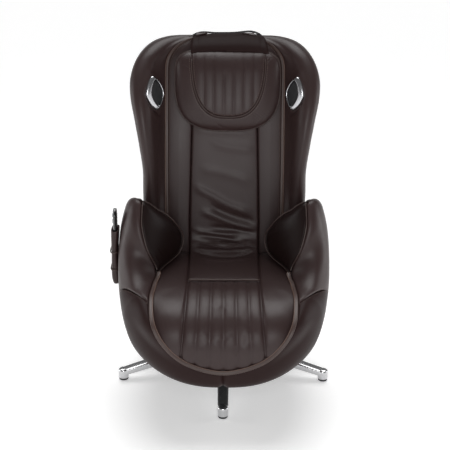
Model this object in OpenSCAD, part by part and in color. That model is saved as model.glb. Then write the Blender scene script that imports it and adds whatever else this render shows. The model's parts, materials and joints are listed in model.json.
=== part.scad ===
/* [Base] */
// Distance from the swivel axis to the outer end of a leg
base_radius = 367; // [355:1:369]
// Number of legs
leg_count = 5; // [5:1:6]
// Slope of a leg, in degrees
leg_slope = 11.5; // [10:0.5:13]
// Distance of the swivel axis behind the middle of the chair
axis_y = 65; // [60:1:70]

/* [Bucket] */
// Half of the bucket's width over the arms
tub_half_w = 336; // [330:1:338]
// Reach of the bucket in front of its widest line
tub_front_len = 335; // [330:1:338]
// Reach of the bucket behind its widest line
tub_rear_len = 340; // [335:1:345]
// Height of the bucket's lowest face
tub_bottom_z = 138; // [136:1:140]
// Height of the arms' highest point
arm_top_z = 650; // [645:1:655]

/* [Seat] */
// Half of the seat cushion's width
seat_half_w = 222; // [216:1:223]
// Height of the seat cushion's top
seat_z = 410; // [405:1:412]

/* [Back] */
// Height of the top of the back
back_top_z = 1082; // [1076:1:1084]
// Half of the back's width at the wings
back_half_w = 308; // [304:1:312]
// Half of the centre pad's width
pad_half_w = 188; // [184:1:190]
// Tilt of the massage track from upright, in degrees
track_tilt = 13; // [12.5:0.25:13.5]

/* [Massage] */
// Distance from the middle to a guide rod
guide_x = 112; // [108:1:116]
// Radius of a massage roller
roller_r = 24; // [20:1:25]

/* [Hidden] */
$fn = 48;
eps = 0.05;
gap = 0.4;

// Base
leg_w_tip = 31;
leg_w_hub = 44;
leg_tip_z = 38;
leg_depth = 16;
glide_r = 15;
glide_h = 22;
hub_r = 52;
hub_top_z = 112;
foot_inset = 17;
spindle_r = 17.5;
spindle_fit = 0.05;
housing_r = 38;
housing_top_z = 122;
bearing_h = 6;
plate_z = housing_top_z + bearing_h;
plate_h = 6;
plate_w = 150;
bolt_pitch = 110;
bolt_r = 4;

// Bucket
tub_mid_y = -70;
tub_mid_z = 430;
tub_drop = tub_mid_z - tub_bottom_z;
tub_rise = 359;
tub_front_p = 2.65;
tub_rear_p = 4;
tub_wall = 26;
rim_z = 404;
pan_z = 150;
pan_h = 6;
pan_top_z = 166;

// Recline pivot
pivot_y = 150;
pivot_z = 385;
pin_r = 9;
pin_fit = 0.05;
cradle_r = 134;
back_end_r = 116;
bracket_x = 196;
bracket_t = 6;
back_bracket_x = 175;

// Track, in the back's own tilted frame: +Z up the back, +Y rearwards
rail_x = 182;
rail_v = 40;
track_top = 612;
rod_r = 7;
rod_v = 52;
screw_r = 7;
screw_v = 76;
carriage_z = 230;
shaft_v = 50;
shaft_r = 6;
roller_v = 31;
roller_x = 52;
roller_reach = 66;

// Remote
remote_x = -347.3;
remote_y = -30;
remote_w = 52;
remote_t = 14;
remote_low = 400;
remote_top = 605;
pocket_low = 352;
pocket_h = 185;
pocket_t = 21.4;
pocket_wall = 3;

// Bucket profile: how far a quantity is from its full size at height z
function bulge(t, p) = pow(1 - pow(min(1, abs(t)), p), 1 / p);
function below(z) = (tub_mid_z - z) / tub_drop;
function above(z) = (z - tub_mid_z) / tub_rise;
function tub_w(z) = tub_half_w * (z <= tub_mid_z ? bulge(below(z), 3) : bulge(above(z), 2.5));
function tub_f(z) = tub_front_len * (z <= tub_mid_z ? bulge(below(z), 9) : 1);
function tub_r(z) = tub_rear_len * (z <= tub_mid_z ? bulge(below(z), 4) : 1);
function curve(v, p) = sign(v) * pow(abs(v), 2 / p);
function oval(w, f, r, mid, pf, pr, n, z) = [
    for (i = [0 : n - 1])
        let (a = 360 * i / n, len = sin(a) < 0 ? f : r, p = sin(a) < 0 ? pf : pr)
            [w * curve(cos(a), p), mid + len * curve(sin(a), p), z]
];
function tub_ring(z, inset) = oval(
    max(8, tub_w(z) - inset), max(8, tub_f(z) - inset), max(8, tub_r(z) - inset),
    tub_mid_y, tub_front_p, tub_rear_p, 56, z
);

// Back profile at height z
wing_reach = 92;
top_round = 120;

// Height, and the back's width there as a share of its widest
back_widths = [
    [260, 0.83], [430, 0.855], [600, 0.878], [680, 0.875], [765, 0.905], [846, 0.95], [900, 0.985],
    [930, 1], [966, 1], [1005, 0.968], [1030, 0.918], [1050, 0.855], [1066, 0.775], [1081, 0.63]
];
function back_t(z) = max(0, min(1, (z - 330) / (back_top_z - 330)));
function back_shoulder(z) = z > back_top_z - top_round
    ? bulge((z - back_top_z + top_round) / (top_round * 1.02), 2) : 1;
function back_w(z) = back_half_w * lookup(z, back_widths);
function back_rear(z) = pivot_y + 106 + 150 * sin(108 * pow(back_t(z), 1.25)) - 30 * (1 - back_shoulder(z));
function pad_y(z) = 112 + 40 * back_t(z) + 135 * pow(back_t(z), 2.2);
function wing_y(z) = pad_y(z) - wing_reach * sin(180 * pow(back_t(z), 1.9));

// Rear half of the back's cross-section at height z, as n + 1 points from one side to the other
function rear_arc(z, inset, n) = [
    for (i = [0 : n])
        let (a = 180 * i / n, mid = wing_y(z) + 45)
            [(back_w(z) - inset) * curve(cos(a), 2.5),
             mid + (back_rear(z) - inset - mid) * curve(sin(a), 2.5), z]
];

// A solid skinned through rings that all have the same number of points
module loft(rings) {
    n = len(rings[0]);
    m = len(rings);
    points = [for (ring = rings) each ring];
    sides = [
        for (j = [0 : m - 2], i = [0 : n - 1])
            let (k = (i + 1) % n)
                each [[j * n + i, (j + 1) * n + i, (j + 1) * n + k],
                      [j * n + i, (j + 1) * n + k, j * n + k]]
    ];
    low = [for (i = [0 : n - 1]) i];
    high = [for (i = [n - 1 : -1 : 0]) (m - 1) * n + i];
    polyhedron(points, concat([low], sides, [high]));
}

module rod_x(r, x0, x1) {
    translate([x0, 0, 0]) rotate([0, 90, 0]) cylinder(r = r, h = x1 - x0);
}

module mirrored_pair() {
    children();
    mirror([1, 0, 0]) children();
}

module in_track() {
    translate([0, pivot_y, pivot_z]) rotate([-track_tilt, 0, 0]) children();
}

// Side outline, in the YZ plane, pushed out along X
module side_slab(points, x0, x1) {
    translate([x0, 0, 0])
        rotate([90, 0, 90])
            linear_extrude(height = x1 - x0) polygon(points);
}

function arc_points(cy, cz, r, a0, a1, n) =
    [for (i = [0 : n]) let (a = a0 + (a1 - a0) * i / n) [cy + r * cos(a), cz + r * sin(a)]];

// ---- base ----
module star_leg() {
    reach = base_radius - foot_inset;
    rise = reach * tan(leg_slope);
    intersection() {
        rotate([90, 0, 0])
            linear_extrude(height = 2 * leg_w_hub, center = true)
                polygon([
                    [0, leg_tip_z + rise], [reach, leg_tip_z],
                    [base_radius, leg_tip_z - 6], [base_radius, leg_tip_z - leg_depth],
                    [0, leg_tip_z + rise - 2 * leg_depth]
                ]);
        union() {
            linear_extrude(height = 200)
                polygon([
                    [0, -leg_w_hub / 2], [reach, -leg_w_tip / 2],
                    [reach, leg_w_tip / 2], [0, leg_w_hub / 2]
                ]);
            translate([reach, 0, 0]) cylinder(r = foot_inset, h = 200);
        }
    }
}

module star_base() {
    color("lightgray")
        translate([0, axis_y, 0])
            difference() {
                union() {
                    for (i = [0 : leg_count - 1]) rotate([0, 0, 360 * i / leg_count - 90]) star_leg();
                    translate([0, 0, 66]) cylinder(r = hub_r, h = hub_top_z - 66);
                }
                translate([0, 0, 60]) cylinder(r = housing_r, h = 60);
                for (i = [0 : leg_count - 1])
                    rotate([0, 0, 360 * i / leg_count - 90])
                        translate([base_radius - foot_inset, 0, 0]) cylinder(r = 6, h = 32);
            }
}

module glide_pads() {
    color("dimgray")
        translate([0, axis_y, 0])
            for (i = [0 : leg_count - 1])
                rotate([0, 0, 360 * i / leg_count - 90])
                    translate([base_radius - foot_inset, 0, 0]) {
                        cylinder(r = glide_r, h = glide_h - 1);
                        cylinder(r = 6, h = 32);
                    }
}

module swivel_housing() {
    color("dimgray")
        translate([0, axis_y, 66])
            difference() {
                union() {
                    cylinder(r = housing_r, h = housing_top_z - 66);
                    translate([0, 0, hub_top_z - 66]) cylinder(r = hub_r, h = housing_top_z - hub_top_z);
                }
                translate([0, 0, 6]) cylinder(r = spindle_r + spindle_fit, h = 100);
            }
}

module swivel_bearing() {
    color("silver")
        translate([0, axis_y, housing_top_z])
            difference() {
                cylinder(r = 44, h = bearing_h - 0.2);
                translate([0, 0, -1]) cylinder(r = spindle_r + 2, h = bearing_h + 2);
            }
}

// ---- seat structure ----
module swivel_spindle() {
    color("silver") translate([0, axis_y, 73]) cylinder(r = spindle_r, h = plate_z - 73);
}

module bolt_places() {
    for (sx = [-1, 1], sy = [-1, 1])
        translate([sx * bolt_pitch / 2, axis_y + sy * bolt_pitch / 2, 0]) children();
}

module mount_plate() {
    color("dimgray")
        difference() {
            union() {
                translate([-plate_w / 2, axis_y - plate_w / 2, plate_z]) cube([plate_w, plate_w, plate_h]);
                for (s = [-1, 1])
                    translate([s * bolt_pitch / 2 - 14, axis_y - plate_w / 2, plate_z])
                        cube([28, plate_w, rail_z - plate_z]);
            }
            bolt_places() translate([0, 0, plate_z - 1]) cylinder(r = bolt_r, h = 60);
        }
}

module plate_bolts() {
    color("silver")
        bolt_places() {
            translate([0, 0, plate_z - 3]) cylinder(r = bolt_r * 1.8, h = 3, $fn = 6);
            translate([0, 0, plate_z]) cylinder(r = bolt_r, h = rail_z + rail_h - plate_z + 4);
        }
}

rail_z = 186;
rail_h = 34;
tube_wall = 2;
tube_w = 30;
cross_ys = [-260, -125, axis_y - bolt_pitch / 2 - tube_w / 2, axis_y + bolt_pitch / 2 - tube_w / 2];
module seat_side_rails() {
    color("black")
        mirrored_pair()
            difference() {
                translate([150, -270, rail_z]) cube([26, 410, rail_h]);
                translate([150 + tube_wall, -271, rail_z + tube_wall])
                    cube([26 - 2 * tube_wall, 412, rail_h - 2 * tube_wall]);
            }
}

module seat_cross_tubes() {
    color("black")
        for (y = cross_ys)
            difference() {
                translate([-150, y, rail_z]) cube([300, tube_w, rail_h]);
                translate([-151, y + tube_wall, rail_z + tube_wall])
                    cube([302, tube_w - 2 * tube_wall, rail_h - 2 * tube_wall]);
                bolt_places() translate([0, 0, rail_z - 10]) cylinder(r = bolt_r, h = 60);
            }
}

module recline_brackets() {
    color("dimgray")
        mirrored_pair()
            translate([bracket_x, 0, 0])
                rotate([90, 0, 90])
                    linear_extrude(height = bracket_t)
                        difference() {
                            union() {
                                polygon([
                                    [60, rail_z + 14], [140, rail_z + 14],
                                    [pivot_y + 24, pivot_z], [pivot_y - 24, pivot_z]
                                ]);
                                translate([pivot_y, pivot_z]) circle(r = 24);
                            }
                            translate([pivot_y, pivot_z]) circle(r = pin_r);
                        }
    color("dimgray")
        mirrored_pair() translate([176, 60, rail_z + 14]) cube([bracket_x - 176, 80, bracket_t]);
}

module recline_pins() {
    color("silver")
        mirrored_pair()
            translate([0, pivot_y, pivot_z]) {
                rod_x(pin_r, back_bracket_x - 8, bracket_x + bracket_t);
                rod_x(pin_r + 4, bracket_x + bracket_t, bracket_x + bracket_t + 5);
            }
}

// ---- bucket ----
tub_steps = [0.004, 0.03, 0.1, 0.2, 0.34, 0.5, 0.7, 0.86, 1];
tub_levels = concat(
    [for (s = tub_steps) tub_bottom_z + tub_drop * s],
    [for (i = [1 : 6]) tub_mid_z + (arm_top_z - tub_mid_z) * i / 6]
);

// Top edge of the bucket seen from the side, from the front lip to the rear
front_round = 58;
front_y = tub_mid_y - tub_front_len;
rear_edge_z = 300;
function tub_edge() = concat(
    [[-500, 100], [-500, rim_z - front_round]],
    arc_points(front_y + front_round, rim_z - front_round, front_round, 180, 90, 8),
    [[-126, rim_z + 8], [-112, 470], [-98, 540], [-84, 590]],
    arc_points(-34, arm_top_z - 52, 52, 165, 52, 8),
    [for (y = [20 : 24 : 260])
        [y, rear_edge_z + (arm_top_z - 20 - rear_edge_z) * bulge((y + 10) / 290, 1.5)]],
    [[280, rear_edge_z], [500, rear_edge_z], [500, 100]]
);

// Seat cushion: side outline, and a front outline that is round at the bottom
cushion_low = 217;
cushion_floor = 300;
function cushion_w(z) = seat_half_w * bulge((rim_z - z) / (rim_z - cushion_low + 1), 1.85);
function cushion_front(grow) = concat(
    [for (i = [0 : 16])
        let (z = rim_z - (rim_z - cushion_low) * i / 16) [cushion_w(z) + grow, z - grow]],
    [for (i = [16 : -1 : 0])
        let (z = rim_z - (rim_z - cushion_low) * i / 16) [-cushion_w(z) - grow, z - grow]],
    [[-seat_half_w - grow, 520], [seat_half_w + grow, 520]]
);
module cushion_form(grow) {
    intersection() {
        side_slab(concat(
            [[100 + grow, cushion_floor - grow], [100 + grow, seat_z - 12 + 2 * grow]],
            [[60, seat_z - 6 + grow], [-160, seat_z + grow]],
            arc_points(front_y + front_round, seat_z - front_round, front_round + grow, 90, 180, 8),
            [[front_y - grow, 214], [-372, 214], [-350 + grow, cushion_floor - grow]]
        ), -300, 300);
        translate([0, 600, 0])
            rotate([90, 0, 0])
                linear_extrude(height = 1100) polygon(cushion_front(grow));
    }
}

module pan_outline(grow) {
    polygon([for (q = oval(186 + grow, 285 + grow, 262 + grow, -40, 3, 3, 48, 0)) [q[0], q[1]]]);
}

module tub_body() {
    difference() {
        intersection() {
            loft([for (z = tub_levels) tub_ring(z, 0)]);
            side_slab(tub_edge(), -400, 400);
        }
        // hollow below the seat board
        intersection() {
            loft([for (z = concat([pan_top_z], [for (z = tub_levels) if (z > pan_top_z + 4) z]))
                tub_ring(z, tub_wall)]);
            translate([-400, -400, 100]) cube([800, 800, cushion_floor + gap - 100]);
        }
        // the seat cushion, and its board under it
        cushion_form(gap);
        translate([-seat_half_w - gap, -345, 270]) cube([2 * (seat_half_w + gap), 460, 200]);
        // between the arms, where the back turns
        translate([-seat_half_w - gap, -200, rim_z + 6]) cube([2 * (seat_half_w + gap), 300, 300]);
        translate([-285, -90, rim_z + 10]) cube([570, 420, 300]);
        translate([-285, -200, 470]) cube([570, 400, 300]);
        side_slab(concat(
            [[80, 520], [80, cushion_floor]],
            arc_points(pivot_y, pivot_z, cradle_r, 230, 360, 12),
            [[pivot_y + cradle_r, 520]]
        ), -285, 285);
        translate([0, 0, 100]) linear_extrude(height = 70) pan_outline(gap);
        power_recess();
    }
}

module tub_part(x0, x1, y0, y1) {
    intersection() {
        tub_body();
        translate([x0, y0, 100]) cube([x1 - x0, y1 - y0, 600]);
    }
}

side_x = seat_half_w + gap;
module tub_left() {
    color([0.24, 0.19, 0.18])
        difference() {
            tub_part(-400, -side_x, -500, 500);
            arm_leaf(gap);
        }
}

module tub_right() {
    color([0.24, 0.19, 0.18])
        difference() {
            tub_part(side_x, 400, -500, 500);
            mirror([1, 0, 0]) arm_leaf(gap);
        }
}

module tub_front() {
    color([0.22, 0.17, 0.16]) tub_part(-side_x + eps, side_x - eps, -500, 0);
}

module tub_rear() {
    color([0.22, 0.17, 0.16]) tub_part(-side_x + eps, side_x - eps, eps, 500);
}

// Leaf-shaped pad that folds in from the top of the arm: half of its thickness, and its corners
leaf_r = 17;
leaf_corners = [
    [-290, -30, arm_top_z - 24], [-244, -18, 606], [-188, 8, 562], [-152, 34, 512],
    [-150, 44, 464], [-206, -98, 444], [-246, -82, 520], [-272, -66, 585]
];
module arm_leaf(grow) {
    hull()
        for (place = leaf_corners) translate(place) sphere(r = leaf_r + grow, $fn = 20);
}

module arm_pad_left() {
    color([0.16, 0.12, 0.12]) arm_leaf(0);
}

module arm_pad_right() {
    color([0.16, 0.12, 0.12]) mirror([1, 0, 0]) arm_leaf(0);
}

module seat_cushion() {
    color([0.27, 0.21, 0.2])
        intersection() {
            cushion_form(0);
            loft([for (z = tub_levels) if (z > 180 && z < 520) tub_ring(z, 1)]);
        }
}

module seat_board() {
    color("burlywood")
        translate([-seat_half_w + 4, -340, 286])
            linear_extrude(height = 13.5)
                square([2 * (seat_half_w - 4), 350]);
}

module underside_cover() {
    color("dimgray")
        translate([0, 0, pan_z])
            difference() {
                linear_extrude(height = pan_h) pan_outline(0);
                translate([0, axis_y, -1]) cylinder(r = 112, h = pan_h + 2);
            }
}

module control_box() {
    color("gray") translate([-140, -228, 222]) cube([110, 90, 42]);
}

module air_pump() {
    color("gray")
        translate([30, -228, 222])
            difference() {
                cube([90, 80, 56]);
                translate([45, 40, 40]) cylinder(r = 5, h = 30);
            }
}

module hip_airbags() {
    color("darkslategray")
        mirrored_pair() translate([180, -150, 215]) cube([30, 180, 68]);
}

module vibration_motor() {
    color("gray") translate([0, -60, 267]) rod_x(18, 50, 140);
}

panel_z = 205;
module power_recess() {
    translate([-70, 240, panel_z]) cube([80, 60, 56]);
    translate([-60, 200, panel_z + 12]) cube([30, 60, 34]);
    translate([-20, 200, panel_z + 18]) cube([22, 60, 22]);
}

module power_panel() {
    color("black")
        difference() {
            translate([-69.5, 244, panel_z + 0.5]) cube([79, 5, 55]);
            translate([-60, 243, panel_z + 12]) cube([30, 7, 34]);
            translate([-20, 243, panel_z + 18]) cube([22, 7, 22]);
        }
}

module power_inlet() {
    color("black")
        difference() {
            translate([-59.8, 226, panel_z + 12.2]) cube([29.6, 24, 33.6]);
            translate([-56, 234, panel_z + 17]) cube([22, 20, 24]);
        }
}

module rocker_switch() {
    color("maroon")
        translate([-9, 243, panel_z + 29])
            intersection() {
                rod_x(8.5, -10, 10);
                translate([-10, 0, -9]) cube([20, 9, 18]);
            }
}

// ---- recline drive ----
// The back's lever hangs below the pivot and starts swing_start degrees behind it
lever_r = 95;
swing_start = 29;
lever_y = pivot_y + lever_r * sin(swing_start);
lever_z = pivot_z - lever_r * cos(swing_start);
drive_y = -110;
drive_z = 236;
drive_pin_r = 6;
drive_len = norm([lever_y - drive_y, lever_z - drive_z]);
drive_rise = atan2(lever_z - drive_z, lever_y - drive_y);
slot_drop = 5.5;

module along_drive() {
    translate([0, drive_y, drive_z]) rotate([drive_rise - 90, 0, 0]) children();
}

module actuator_bracket() {
    color("dimgray") {
        for (x = [-22, 16])
            translate([x, drive_y - 15, rail_z + rail_h]) cube([6, 30, drive_z - rail_z - rail_h + 14]);
        translate([0, drive_y, drive_z]) rod_x(drive_pin_r, -16, 16);
    }
}

module actuator_body() {
    color("black")
        along_drive()
            difference() {
                union() {
                    cylinder(r = 15, h = 150);
                    translate([-15.5, -11, -11]) cube([31, 22, 20]);
                    translate([-13, 12, 24]) cube([26, 34, 44]);
                }
                rod_x(drive_pin_r + 0.02, -40, 40);
                translate([0, 0, 30]) cylinder(r = 9.05, h = 200);
            }
}

module actuator_rod() {
    color("silver")
        along_drive()
            difference() {
                union() {
                    translate([0, 0, 94]) cylinder(r = 9, h = drive_len - 110);
                    translate([-11, -16, drive_len - 22]) cube([22, 34, 36]);
                }
                translate([-5, -17, drive_len - 16]) cube([10, 38, 40]);
                // slot for the lever's pin, which swings a little across the rod's line
                translate([0, 0, drive_len]) rod_x(drive_pin_r + 0.8, -20, 20);
                translate([0, slot_drop, drive_len]) rod_x(drive_pin_r + 0.8, -20, 20);
                translate([-20, 0, drive_len - drive_pin_r - 0.8])
                    cube([40, slot_drop, 2 * (drive_pin_r + 0.8)]);
            }
}

// ---- remote ----
module remote_pocket() {
    color([0.2, 0.15, 0.15])
        difference() {
            translate([remote_x - pocket_t / 2, remote_y - 34, pocket_low]) cube([pocket_t, 68, pocket_h]);
            translate([remote_x - pocket_t / 2 + pocket_wall, remote_y - 30, remote_low - 4])
                cube([pocket_t - 2 * pocket_wall, 60, pocket_h]);
        }
}

module remote_shell() {
    color("black")
        difference() {
            translate([remote_x - remote_t / 2, remote_y, 0])
                rotate([90, 0, 90])
                    linear_extrude(height = remote_t) {
                        translate([-remote_w / 2, remote_low + 20])
                            square([remote_w, remote_top - remote_low - 46]);
                        translate([0, remote_low + 20]) circle(r = remote_w / 2 - 6);
                        translate([0, remote_top - 26]) circle(r = remote_w / 2);
                    }
            for (i = [0 : 3]) button_hole(i);
        }
}

function button_at(i) = [remote_x - remote_t / 2, remote_y + (i % 2 == 0 ? -11 : 11),
                         remote_top - (i < 2 ? 18 : 38)];
module button_hole(i) {
    translate(button_at(i)) rod_x(6.6, -1, 5);
}

module remote_button(i) {
    color("silver") translate(button_at(i)) rod_x(6.2, -1, 2.5);
}

// ---- back frame ----
module back_side_rails() {
    color("black")
        in_track()
            mirrored_pair()
                difference() {
                    translate([rail_x, rail_v - 14, 40]) cube([20, 28, track_top - 40]);
                    translate([rail_x + tube_wall, rail_v - 14 + tube_wall, 39])
                        cube([20 - 2 * tube_wall, 28 - 2 * tube_wall, track_top - 38]);
                }
}

module back_cross_tube(z, half) {
    in_track()
        translate([0, rod_v, z])
            difference() {
                union() {
                    translate([-half, -16, 0]) cube([2 * half, 26, 24]);
                    translate([-20, 9, 0]) cube([40, 32, 24]);
                }
                for (s = [-1, 1]) translate([s * guide_x, 0, -1]) cylinder(r = rod_r, h = 26);
                translate([0, screw_v - rod_v, -1]) cylinder(r = screw_r + 0.06, h = 40);
            }
}

module back_cross_tubes() {
    color("black") {
        back_cross_tube(72, back_bracket_x - 0.1);
        back_cross_tube(track_top - 30, rail_x - 0.1);
    }
}

module back_brackets() {
    color("dimgray")
        mirrored_pair()
            difference() {
                translate([back_bracket_x, 0, 0])
                    rotate([90, 0, 90])
                        linear_extrude(height = bracket_t) {
                            translate([pivot_y, pivot_z]) circle(r = 26);
                            translate([pivot_y, pivot_z])
                                rotate(-track_tilt) translate([-10, 0]) square([64, 120]);
                        }
                translate([0, pivot_y, pivot_z]) rod_x(pin_r + 4, back_bracket_x - 1, bracket_x);
            }
    // torque tube between the brackets, with the lever that the recline rod pulls
    color("dimgray") {
        translate([0, pivot_y, pivot_z])
            difference() {
                rod_x(14, -back_bracket_x, back_bracket_x);
                rod_x(11, -back_bracket_x - 1, back_bracket_x + 1);
            }
        translate([-4, pivot_y, pivot_z])
            rotate([90, 0, 90])
                rotate(swing_start)
                    linear_extrude(height = 8)
                        polygon([[-12, -12], [-9, -lever_r - 8], [9, -lever_r - 8], [12, -12]]);
        translate([0, lever_y, lever_z]) rod_x(drive_pin_r, -11, 11);
    }
}

module recline_bushes() {
    color("gold")
        mirrored_pair()
            translate([0, pivot_y, pivot_z])
                difference() {
                    rod_x(pin_r + 4, back_bracket_x, back_bracket_x + bracket_t);
                    rod_x(pin_r + pin_fit, back_bracket_x - 1, back_bracket_x + bracket_t + 1);
                }
}

module guide_rods() {
    color("silver")
        in_track()
            for (s = [-1, 1])
                translate([s * guide_x, rod_v, 72]) cylinder(r = rod_r, h = track_top - 78);
}

module screw_motor() {
    color("gray")
        in_track()
            translate([0, screw_v, 26])
                difference() {
                    cylinder(r = 13, h = 44);
                    translate([0, 0, 26]) cylinder(r = screw_r + 0.06, h = 20);
                }
}

module lead_screw() {
    color("silver")
        in_track() translate([0, screw_v, 52]) cylinder(r = screw_r, h = track_top - 60);
}

// ---- back upholstery ----
shell_levels = [260, 330, 370, 430, 520, 620, 720, 820, 900, 960, 1000, 1030, 1050, 1064, 1074, 1081];

shell_wall = 22;
function shell_inner(z) = let (arc = rear_arc(z, shell_wall, 40), n = len(arc)) concat(
    arc,
    [[arc[n - 1][0], arc[n - 1][1] - 60, z], [arc[0][0], arc[0][1] - 60, z]]
);

module back_shell() {
    color([0.24, 0.19, 0.18])
        difference() {
            loft([for (z = shell_levels) rear_arc(z, 0, 40)]);
            loft([for (z = shell_levels) if (z < back_top_z - 24) shell_inner(z)]);
            // the lower end turns about the pivot, so it is round about it
            difference() {
                translate([-400, pivot_y - 200, pivot_z - 200]) cube([800, 500, 200]);
                translate([0, pivot_y, pivot_z]) rod_x(back_end_r, -401, 401);
            }
            // room for the recline brackets when the back goes down
            mirrored_pair() translate([186, 0, 200]) cube([200, 400, 152]);
        }
}

// Filled section between the shell's front edge and the pad
function wing_ring(z) = let (
    w = back_w(z), y0 = wing_y(z), mid = y0 + 45, inner = pad_half_w + 3, span = w - inner, yp = pad_y(z)
) [
    [-inner, yp + 44, z], [-inner - 0.05 * span, yp + 44, z], [-inner - 0.4 * span, mid + 12, z],
    [-w + shell_wall, mid - gap, z], [-w, mid - gap, z], [-w + 2, y0 + 26, z],
    [-w + 0.13 * span, y0 + 5, z], [-inner - 0.68 * span, y0, z], [-inner - 0.5 * span, y0 + 16, z],
    [-inner - 0.18 * span, yp - 4, z], [-inner, yp + 8, z]
];
wing_levels = [414, 440, 520, 620, 720, 820, 900, 960, 1000, 1030, 1048];

module wing() {
    difference() {
        loft([for (z = wing_levels) wing_ring(z)]);
        speaker_place() translate([0, 0, -44]) linear_extrude(height = 80) speaker_outline(0.4);
    }
}

module wing_left() {
    color([0.2, 0.16, 0.15]) wing();
}

module wing_right() {
    color([0.2, 0.16, 0.15]) mirror([1, 0, 0]) wing();
}

// The pad is narrower where it passes between the back's brackets
pad_levels = [400, 430, 480, 508, 512, 620, 700, 780, 860, 930, 990, 1030, 1050];
function pad_w(z) = z < 510 ? back_bracket_x - 13 : pad_half_w;
module back_pad() {
    color([0.27, 0.21, 0.2])
        loft([for (z = pad_levels) let (y = pad_y(z), w = pad_w(z)) [
            [-w, y + 10, z], [24 - w, y, z], [w - 24, y, z], [w, y + 10, z],
            [w, y + 44, z], [-w, y + 44, z]
        ]]);
}

// Speakers sit in the wings' inner faces
speaker_z = 925;
speaker_w = 38;
speaker_h = 53;
module speaker_place() {
    translate([-229, 184, speaker_z]) rotate([0, 0, 45]) rotate([80, 0, 0]) children();
}

module speaker_outline(grow) {
    polygon([for (i = [0 : 35])
        [(speaker_w + grow) * curve(cos(10 * i), 1.7), (speaker_h + grow) * curve(sin(10 * i), 1.7)]]);
}

module speaker_bezels() {
    color("lightgray")
        mirrored_pair()
            speaker_place()
                translate([0, 0, -3])
                    difference() {
                        linear_extrude(height = 7) speaker_outline(0);
                        translate([0, 0, -1]) linear_extrude(height = 9) speaker_outline(-6);
                    }
}

module speaker_grilles() {
    color("black")
        mirrored_pair()
            speaker_place() translate([0, 0, -3]) linear_extrude(height = 4) speaker_outline(-6.2);
}

module speaker_drivers() {
    color("gray")
        mirrored_pair()
            speaker_place()
                translate([0, 0, -22]) {
                    cylinder(r = 28, h = 18);
                    translate([0, 0, -14]) cylinder(r = 16, h = 15);
                }
}

strap_z = back_top_z + 1;
module handle_strap() {
    color("black")
        translate([0, 366, strap_z])
            rotate([90, 0, 0])
                linear_extrude(height = 26)
                    polygon([
                        [-118, 0], [-90, 4], [90, 4], [118, 0],
                        [118, 2.4], [90, 6.4], [-90, 6.4], [-118, 2.4]
                    ]);
}

// ---- massage carriage ----
module at_carriage() {
    in_track() translate([0, 0, carriage_z]) children();
}

module carriage_plate() {
    color("dimgray")
        at_carriage()
            difference() {
                union() {
                    translate([-104, rod_v + 10, -60]) cube([208, 5, 120]);
                    for (s = [-1, 1]) translate([s * guide_x, rod_v, -60]) cylinder(r = 15, h = 120);
                    translate([-14, rod_v + 14, -16]) cube([28, 27, 32]);
                    for (s = [-1, 1])
                        translate([s * 84 - 3, shaft_v - 14, -16]) cube([6, 26.5, 32]);
                }
                for (s = [-1, 1])
                    translate([s * guide_x, rod_v, -61]) cylinder(r = rod_r + 0.06, h = 122);
                translate([0, screw_v, -61]) cylinder(r = screw_r + 0.06, h = 122);
                translate([0, shaft_v, 0]) rod_x(shaft_r + 0.06, -100, 100);
            }
}

module knead_motor() {
    color("gray")
        at_carriage() translate([22, rod_v + 15.2, -40]) cube([56, 26, 80]);
}

module knead_shaft() {
    color("silver")
        at_carriage()
            translate([0, shaft_v, 0]) {
                rod_x(shaft_r, -92, 92);
                rod_x(11, -66, -58);
                rod_x(11, 58, 66);
            }
}

module massage_arms() {
    color("dimgray")
        at_carriage() {
            for (s = [-1, 1])
                translate([s * 30 - 4, shaft_v, 0])
                    rotate([90, 0, 90])
                        linear_extrude(height = 8)
                            difference() {
                                union() {
                                    circle(r = 11);
                                    polygon([
                                        [-6, -11], [roller_v - shaft_v - 6, -roller_reach],
                                        [roller_v - shaft_v + 6, -roller_reach], [8, -8],
                                        [8, 8], [roller_v - shaft_v + 6, roller_reach],
                                        [roller_v - shaft_v - 6, roller_reach], [-6, 11]
                                    ]);
                                }
                                circle(r = shaft_r + 0.06);
                            }
            for (sz = [-1, 1])
                translate([0, roller_v, sz * roller_reach]) {
                    rod_x(3, -70, 70);
                    for (s = [-1, 1]) translate([s * 30, 0, 0]) rod_x(6, -4.2, 4.2);
                }
        }
}

module roller_pair(sz) {
    color("saddlebrown")
        at_carriage()
            translate([0, roller_v, sz * roller_reach])
                for (s = [-1, 1])
                    difference() {
                        rotate([0, 90, 0])
                            translate([0, 0, s * roller_x])
                                rotate_extrude()
                                    difference() {
                                        translate([roller_r - 9, 0]) circle(r = 9);
                                        translate([-50, -50]) square([50, 100]);
                                    }
                        rod_x(3.06, -80, 80);
                    }
}

module upper_rollers() {
    roller_pair(1);
}

module lower_rollers() {
    roller_pair(-1);
}

// ---- head pillow ----
pillow_top_z = 1052;
module pillow_ball(x, z, r) {
    translate([x, pad_y(z) - r - 7, z]) sphere(r = r, $fn = 28);
}

module head_pillow() {
    color([0.27, 0.21, 0.2])
        hull()
            mirrored_pair() {
                pillow_ball(112, pillow_top_z - 16, 13);
                pillow_ball(142, 985, 26);
                pillow_ball(132, 915, 31);
                pillow_ball(72, 858, 34);
            }
}

flap_t = 3;
module pillow_flap() {
    color([0.27, 0.21, 0.2])
        side_slab([
            [pad_y(pillow_top_z) - 2, pillow_top_z + 3], [pad_y(pillow_top_z) + 10, back_top_z + 2],
            [pad_y(pillow_top_z) + 20, back_top_z + 2 + flap_t], [336, back_top_z + 2 + flap_t],
            [336, back_top_z + 2], [pad_y(pillow_top_z) + 22, back_top_z + 2],
            [pad_y(pillow_top_z) + 2, pillow_top_z + 3]
        ], -112, 112);
}

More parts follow.
